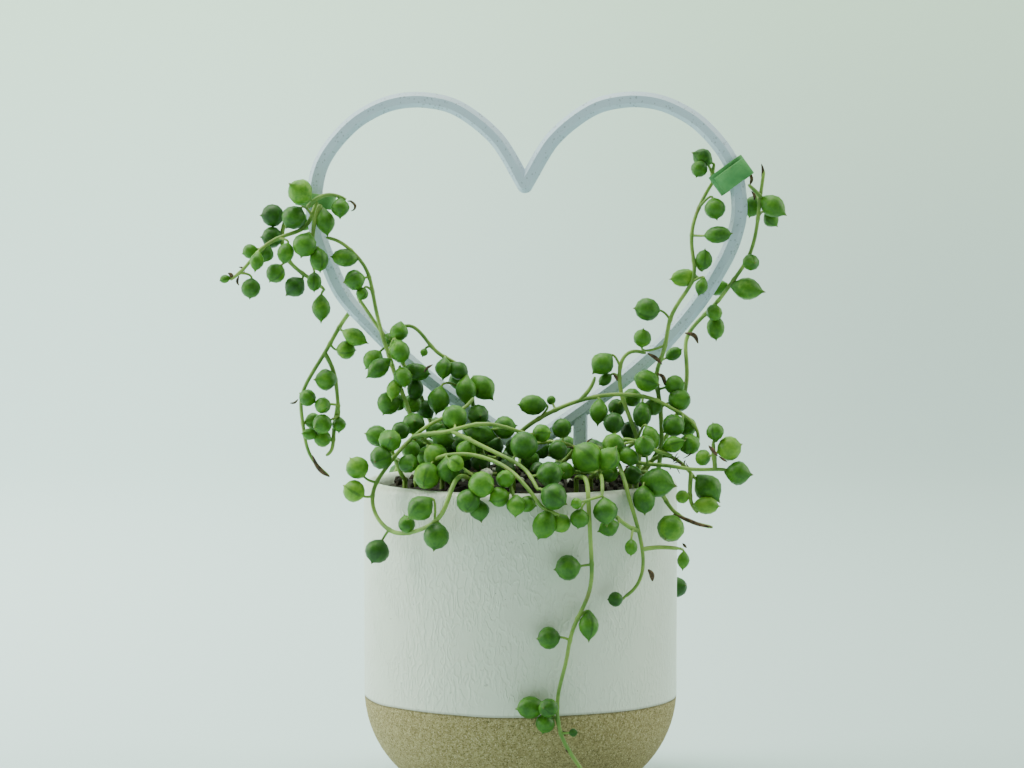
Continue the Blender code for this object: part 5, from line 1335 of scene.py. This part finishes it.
def tie_obstacles(centre, tilt, half_wide, half_deep, band):
    """Beads over the band of a tie."""
    across, deep, up = tie_axes(tilt)
    ring = [centre + across * x + deep * y for x, y in tie_ring(20, half_wide, half_deep)]
    ring.append(ring[0])
    beads = []
    for a, b in zip(ring, ring[1:]):
        for share in (0.0, 0.5):
            for k in range(-3, 4):
                beads.append((a.lerp(b, share) + up * (band / 2) * k / 3, 0.8 * MM))
    return beads


obstacles = heart_obstacles() + tie_obstacles(*RIGHT_TIE) + tie_obstacles(*LEFT_TIE)
plant = Plant(obstacles)
for number, (name, stems, pearls) in enumerate(recipes):
    plant.add(number, name, stems, pearls)
ROUNDS = 150
plant.settle(ROUNDS)
print("beads eased apart:", len(plant.beads))

# %% [markdown]
# ## One pearl
# A leaf of this plant is a ball filled with water: it tapers into its stalk and ends in a fine nib.
# It starts as a plain ball, and each ring of it is moved to its new height and width.
# Two shapes are made, a round one and a longer drop, and every leaf is a copy of one of them.
# More than two hundred copies are used, so a leaf has only a few dozen faces, shaded smooth.
# Each copy keeps the ball's own map, which runs from the stalk (0) to the tip (1).

# %% Model the two leaf shapes
# (height, width) of each ring from the tip to the stalk, for a ball of radius 1
ROUND_LEAF = [(1.22, 0.0), (1.02, 0.12), (0.80, 0.61), (0.42, 0.91), (0.0, 1.0), (-0.42, 0.90),
              (-0.79, 0.57), (-1.00, 0.19), (-1.14, 0.0)]
DROP_LEAF = [(1.32, 0.0), (1.06, 0.15), (0.74, 0.60), (0.36, 0.91), (-0.04, 1.0), (-0.46, 0.84),
             (-0.84, 0.48), (-1.08, 0.18), (-1.20, 0.0)]


def ring_at(height):
    return lambda vertex: abs(vertex.co.z - height) < 0.01


def shape_ring(leaf, height, new_height, grow):
    """Move one ring of the ball along its axis and change its width."""
    pick(leaf, ring_at(height), "VERT")
    bpy.ops.transform.resize(value=(grow, grow, 1.0), center_override=(0.0, 0.0, height))
    bpy.ops.transform.translate(value=(0.0, 0.0, new_height - height))
    leave_edit()


def leaf_shape(name, profile):
    rings = len(profile) - 1
    leaf = added(name, bpy.ops.mesh.primitive_uv_sphere_add, segments=10, ring_count=rings,
                 radius=1.0, calc_uvs=True)
    heights = [math.cos(math.pi * k / rings) for k in range(rings + 1)]
    # from both ends towards the middle, so no moved ring lands where the next is looked for
    order = [0, 1, 2, 3] + [8, 7, 6, 5, 4]
    for k in order:
        before = math.sin(math.pi * k / rings)
        shape_ring(leaf, heights[k], profile[k][0], profile[k][1] / before if 0 < k < rings else 1.0)
    take(leaf)
    bpy.ops.object.shade_smooth()
    print(name, "has", len(leaf.data.polygons), "faces")
    return leaf


round_leaf = leaf_shape("round_leaf", ROUND_LEAF)
drop_leaf = leaf_shape("drop_leaf", DROP_LEAF)

# %% [markdown]
# The skin is deep green and waxy, and a thin darker line runs from the tip down one side.
# New leaves are bright; leaves deep in the plant, at the back and low on the soil are darker as painted
# shade, those in front and out at the sides brighter as painted light, and those below 90 mm darker: each
# copy carries a number for that.

# %% Skin of the pearls and of the stems
def pearl_skin():
    skin = Finish("waxy pearl skin")
    tone = skin.node("ShaderNodeAttribute", {"attribute_name": "tone"}, out="Fac")
    mapped = skin.node("ShaderNodeUVMap", {"uv_map": "UVMap"})
    around = skin.axis("X", mapped)
    along = skin.axis("Y", mapped)
    cloud = skin.grain(210.0, 3.0)
    fine = skin.grain(900.0, 2.0)
    # the cloud mottle is partly the leaves' own blotching and partly painted dappled light
    shade = tone + (cloud - 0.5) * 0.80 + (fine - 0.5) * 0.40
    colour = skin.node("ShaderNodeValToRGB", {"stops": [(0.0, (0.007, 0.046, 0.003)),
                                                        (0.35, (0.024, 0.110, 0.005)),
                                                        (0.68, (0.072, 0.230, 0.011)),
                                                        (1.0, (0.205, 0.410, 0.036))]}, {0: shade})
    line = (1 - (around - 0.5).size().between(0.010, 0.035)) * along.between(0.25, 0.42)
    colour = skin.blend(line * 0.5, colour, (0.012, 0.060, 0.006))
    base = along.between(0.20, 0.04)
    colour = skin.blend(base * 0.60, colour, (0.22, 0.37, 0.09))
    tip = along.between(0.86, 0.98)
    colour = skin.blend(tip * 0.75, colour, (0.19, 0.17, 0.06))
    skin.relief(fine * 0.6 + cloud * 0.8, 0.12 * MM)
    return skin.set(Base_Color=colour, Roughness=0.36 + fine * 0.16, Specular_IOR_Level=0.34,
                    Subsurface_Weight=0.16, Subsurface_Radius=(0.5, 1.0, 0.25), Subsurface_Scale=1.8 * MM)


def stem_skin():
    skin = Finish("pale green stem")
    cloud = skin.grain(130.0, 3.0)
    streak = skin.grain(700.0, 2.0)
    colour = skin.blend(cloud.between(0.3, 0.7), (0.115, 0.24, 0.036), (0.27, 0.43, 0.085))
    colour = skin.blend(skin.grain(75.0).between(0.62, 0.75) * 0.5, colour, (0.20, 0.17, 0.06))
    skin.relief(streak, 0.12 * MM)
    return skin.set(Base_Color=colour, Roughness=0.5 + streak * 0.15,
                    Subsurface_Weight=0.10, Subsurface_Scale=1.2 * MM)


green = pearl_skin()
stem_green = stem_skin()

# %% [markdown]
# ## Growing a strand
# A stem is a curve with a round bevel, thicker at its root and at each leaf joint.
# A little stalk leaves the stem sideways and bends round into the back of its pearl.
# All the tubes of a strand are one curve object, which is then made into a mesh.

# %% Curves for stems and stalks
def tube_piece(name, runs, thickness, resolution=2):
    """Round tubes along runs of (points, radius factors), as one mesh."""
    tube = added(name, bpy.ops.curve.primitive_bezier_curve_add)
    tube.data.splines.clear()
    tube.data.dimensions = "3D"
    tube.data.bevel_depth = thickness
    tube.data.bevel_resolution = resolution
    tube.data.use_fill_caps = True
    for points, widths in runs:
        spline = tube.data.splines.new("POLY")
        spline.points.add(len(points) - 1)
        for spot, point, width in zip(spline.points, points, widths):
            spot.co = (*point, 1.0)
            spot.radius = width
    take(tube)
    bpy.ops.object.convert(target="MESH")
    piece = bpy.context.object
    bpy.ops.object.shade_smooth()
    return piece


def eased(points):
    """The same line with its small wobbles taken out."""
    line = [Vector(p) for p in points]
    for _ in range(2):
        line[1:-1] = [(a + 2 * b + c) / 4 for a, b, c in zip(line, line[1:], line[2:])]
    return line


def bent_stalk(joint, base, point):
    """Points of a stalk that leaves a joint and enters a pearl along its axis."""
    reach = (base - joint).length
    guide_a = joint + (base - joint) * 0.25 - point * reach * 0.10
    guide_b = base - point * reach * 0.38
    line = []
    for k in range(8):
        t = k / 7
        line.append(joint * (1 - t) ** 3 + guide_a * 3 * t * (1 - t) ** 2
                    + guide_b * 3 * t ** 2 * (1 - t) + (base + point * 0.2 * MM) * t ** 3)
    return line


# %% [markdown]
# One strand is put together from its tubes and its leaves, and joined into one piece.
# Leaves deep in the plant are darker as painted shade, small young ones brighter, and those out in the
# light brighter as painted light.

# %% Grow one strand
chance = random.Random(23)
SHADY = ("deep", "dark", "soil_run", "back", "low")
FULLER = 1.05                   # the skin of a leaf against its solid


def leaf_tone_and_light(name, centre, size):
    tone = 0.50 + chance.uniform(-0.20, 0.20)
    tone += 0.10 if size < 2.9 * MM else 0.0
    # painted light: leaves in front above the rim and out at the sides are brighter
    tone += 0.06 if centre.y < -25 * MM and centre.z > 0.09 else 0.0
    tone += 0.13 if abs(centre.x) > 52 * MM else 0.0
    # leaves below 90 mm are darker
    tone -= 0.16 if centre.z < 0.09 else 0.0
    # painted shade: leaves of strands deep in the plant, at the back and low on the soil are darker
    tone -= 0.22 if any(word in name for word in SHADY) else 0.0
    return min(max(tone, 0.05), 0.95)


def grown_strand(name, lines, leaves):
    runs = []
    joints = {joint for joint, *_ in leaves}
    for ids in lines:
        points = [plant.knots[k] for k in ids]
        knobs = [1.22 if k in joints else 1.0 for k in ids]
        last = len(ids) - 1
        widths = [knob * (1.12 - 0.30 * k / last) for k, knob in enumerate(knobs)]
        widths[-1] *= 0.55
        points = eased(points)
        first = points[0]
        flat = math.hypot(first.x, first.y)
        if ids is lines[0] and first.z < 0.116 and flat < POT_INSIDE:
            points.insert(0, Vector((first.x, first.y, soil_height(flat) - 2.5 * MM)))
            widths.insert(0, widths[0])
        runs.append((points, widths))
    pieces = []
    for joint, knot, size, half, point in leaves:
        centre = plant.knots[knot]
        stalk = bent_stalk(plant.knots[joint], centre - point * half * 1.02, point)
        runs.append((stalk, [0.66 - 0.02 * k for k in range(len(stalk))]))
        pieces.append(one_pearl(name, centre, size, half, point))
    strand = tube_piece(name + "_strand", runs, STEM_RADIUS)
    dress(strand, stem_green)
    join_into(strand, pieces)
    finish_piece(strand, node=name)


def one_pearl(name, centre, size, half, point):
    shape = drop_leaf if chance.random() < 0.5 else round_leaf
    leaf = copy_of(shape)
    turn = point.to_track_quat("Z", "Y").to_matrix().to_4x4()
    spin = Matrix.Rotation(chance.uniform(0.0, 2 * math.pi), 4, "Z")
    plump = chance.uniform(0.95, 1.04)
    swell = Matrix.Diagonal((FULLER * size * plump, FULLER * size / plump, half * 1.02, 1.0))
    leaf.matrix_world = Matrix.Translation(centre) @ turn @ spin @ swell
    tone = leaf_tone_and_light(name, centre, size)
    mark = leaf.data.attributes.new("tone", "FLOAT", "POINT")
    mark.data.foreach_set("value", [tone] * len(leaf.data.vertices))
    dress(leaf, green)
    return leaf


for name, lines, leaves in plant.strands:
    grown_strand(name, lines, leaves)
for shape in (round_leaf, drop_leaf):
    bpy.data.objects.remove(shape)

# %% [markdown]
# ## Withered bits and fibre
# A live plant is never perfect: some leaves dry to brown curls, and roots show as thin fibre.
# Each is a short run of points, thick in the middle and thin at both ends.

# %% Dry curls and fibres
# points in mm, and how thick the middle is
WITHERED = [
    ([(-60.5, 0, 205.5), (-59.2, -1, 205.4), (-57.8, -1, 204), (-58.2, 0, 202.6), (-59.3, 0, 202)], 0.5),
    ([(-100.4, 0, 178.6), (-101.4, 0, 179.8), (-102.4, 0, 180.4)], 0.7),
    ([(-98.6, 0, 179.3), (-99.2, 0, 177.4), (-98.6, 0, 176)], 0.5),
    ([(-96.6, 0, 180.6), (-97.4, 0, 182.2), (-98.6, 0, 182.4)], 0.4),
    ([(-73.5, 8, 115.6), (-72.2, 8, 112.4), (-70, 8, 109.6), (-67.5, 8, 108)], 0.8),
    ([(-78.5, 9, 135.5), (-79.8, 9, 134.2), (-81.5, 9, 134)], 0.4),
    ([(-30.5, -12, 149), (-32.2, -12, 148), (-33.5, -12, 146.5)], 0.5),
    ([(57, -12, 160), (60.2, -13, 159.2), (61.6, -12, 156.4)], 0.8),
    ([(44, -14, 153), (46.6, -15, 151.6), (49, -14, 149.2)], 0.7),
    ([(47.6, -14, 146), (49.4, -15, 144.8), (50, -14, 142)], 0.8),
    ([(32, -15, 146), (33, -15, 144.8), (33.5, -15, 143.5)], 0.5),
    ([(79.2, -10, 216), (80, -11, 213.4), (79.4, -10, 211)], 0.6),
    ([(80, -10, 209.2), (81, -11, 207.6), (81, -10, 206)], 0.5),
    ([(83.4, -12, 213.5), (83.8, -12, 216.4), (83.3, -12, 218.6)], 0.5),
    ([(64, -38, 123), (65.2, -39, 121.6), (67, -38, 119.5)], 0.7),
    ([(67.4, -38, 119.4), (69, -38, 118.2), (70.4, -38, 117.4)], 0.4),
    ([(52, -38, 99.5), (57, -39, 97.6), (61, -39, 96), (65, -39, 95.2)], 0.7),
    ([(55, -42, 90), (56.4, -42, 88.4)], 0.5),
    ([(43, -50, 82), (44.2, -50, 80.4), (44.5, -50, 78)], 0.9),
    ([(14, -57, 28.2), (15, -57, 26.4)], 0.6),
    ([(15.2, -57, 22.2), (16, -57, 20.6)], 0.6),
]


def curl(points, thick):
    line = smooth_line([(x * MM, y * MM, z * MM) for x, y, z in points], 0.5 * MM)
    last = max(len(line) - 1, 1)
    widths = [thick * (0.25 + 0.75 * math.sin(math.pi * k / last)) for k in range(len(line))]
    return (line, widths)


def dry_brown():
    brown = Finish("withered brown")
    crumple = brown.grain(700.0, 3.0)
    brown.relief(crumple, 0.35 * MM)
    colour = brown.blend(crumple.between(0.3, 0.7), (0.030, 0.018, 0.012), (0.16, 0.095, 0.042))
    return brown.set(Base_Color=colour, Roughness=0.85)


dry = dry_brown()
bits = tube_piece("withered_bits", [curl(points, thick) for points, thick in WITHERED], 1.0 * MM)
finish_piece(bits, dry)

# fine roots and shreds of peat between the stems
chance = random.Random(5)
FIBRE_SPOTS = [((21.5, -27, 121.0), 12), ((54, -24, 116.0), 12), ((-12, -38, 114.0), 8),
               ((6, -34, 114.6), 8), ((-34, -26, 113.4), 6), ((36, -30, 114.6), 8)]


def shreds():
    runs = []
    for (x, y, z), count in FIBRE_SPOTS:
        for _ in range(count):
            shift = [chance.uniform(-3, 3), chance.uniform(-3, 3), chance.uniform(-2, 2)]
            start = Vector((x, y, z)) + Vector(shift)
            lean = Vector((chance.uniform(-1, 1), chance.uniform(-1, 1), chance.uniform(-0.7, 0.7)))
            middle = start + lean * 2 + Vector((chance.uniform(-1, 1), 0, chance.uniform(-1, 1)))
            end = middle + lean * 2
            runs.append(curl([start, middle, end], chance.uniform(0.16, 0.32)))
    return runs


fibres = tube_piece("peat_fibres", shreds(), 1.0 * MM, 1)
finish_piece(fibres, dry)
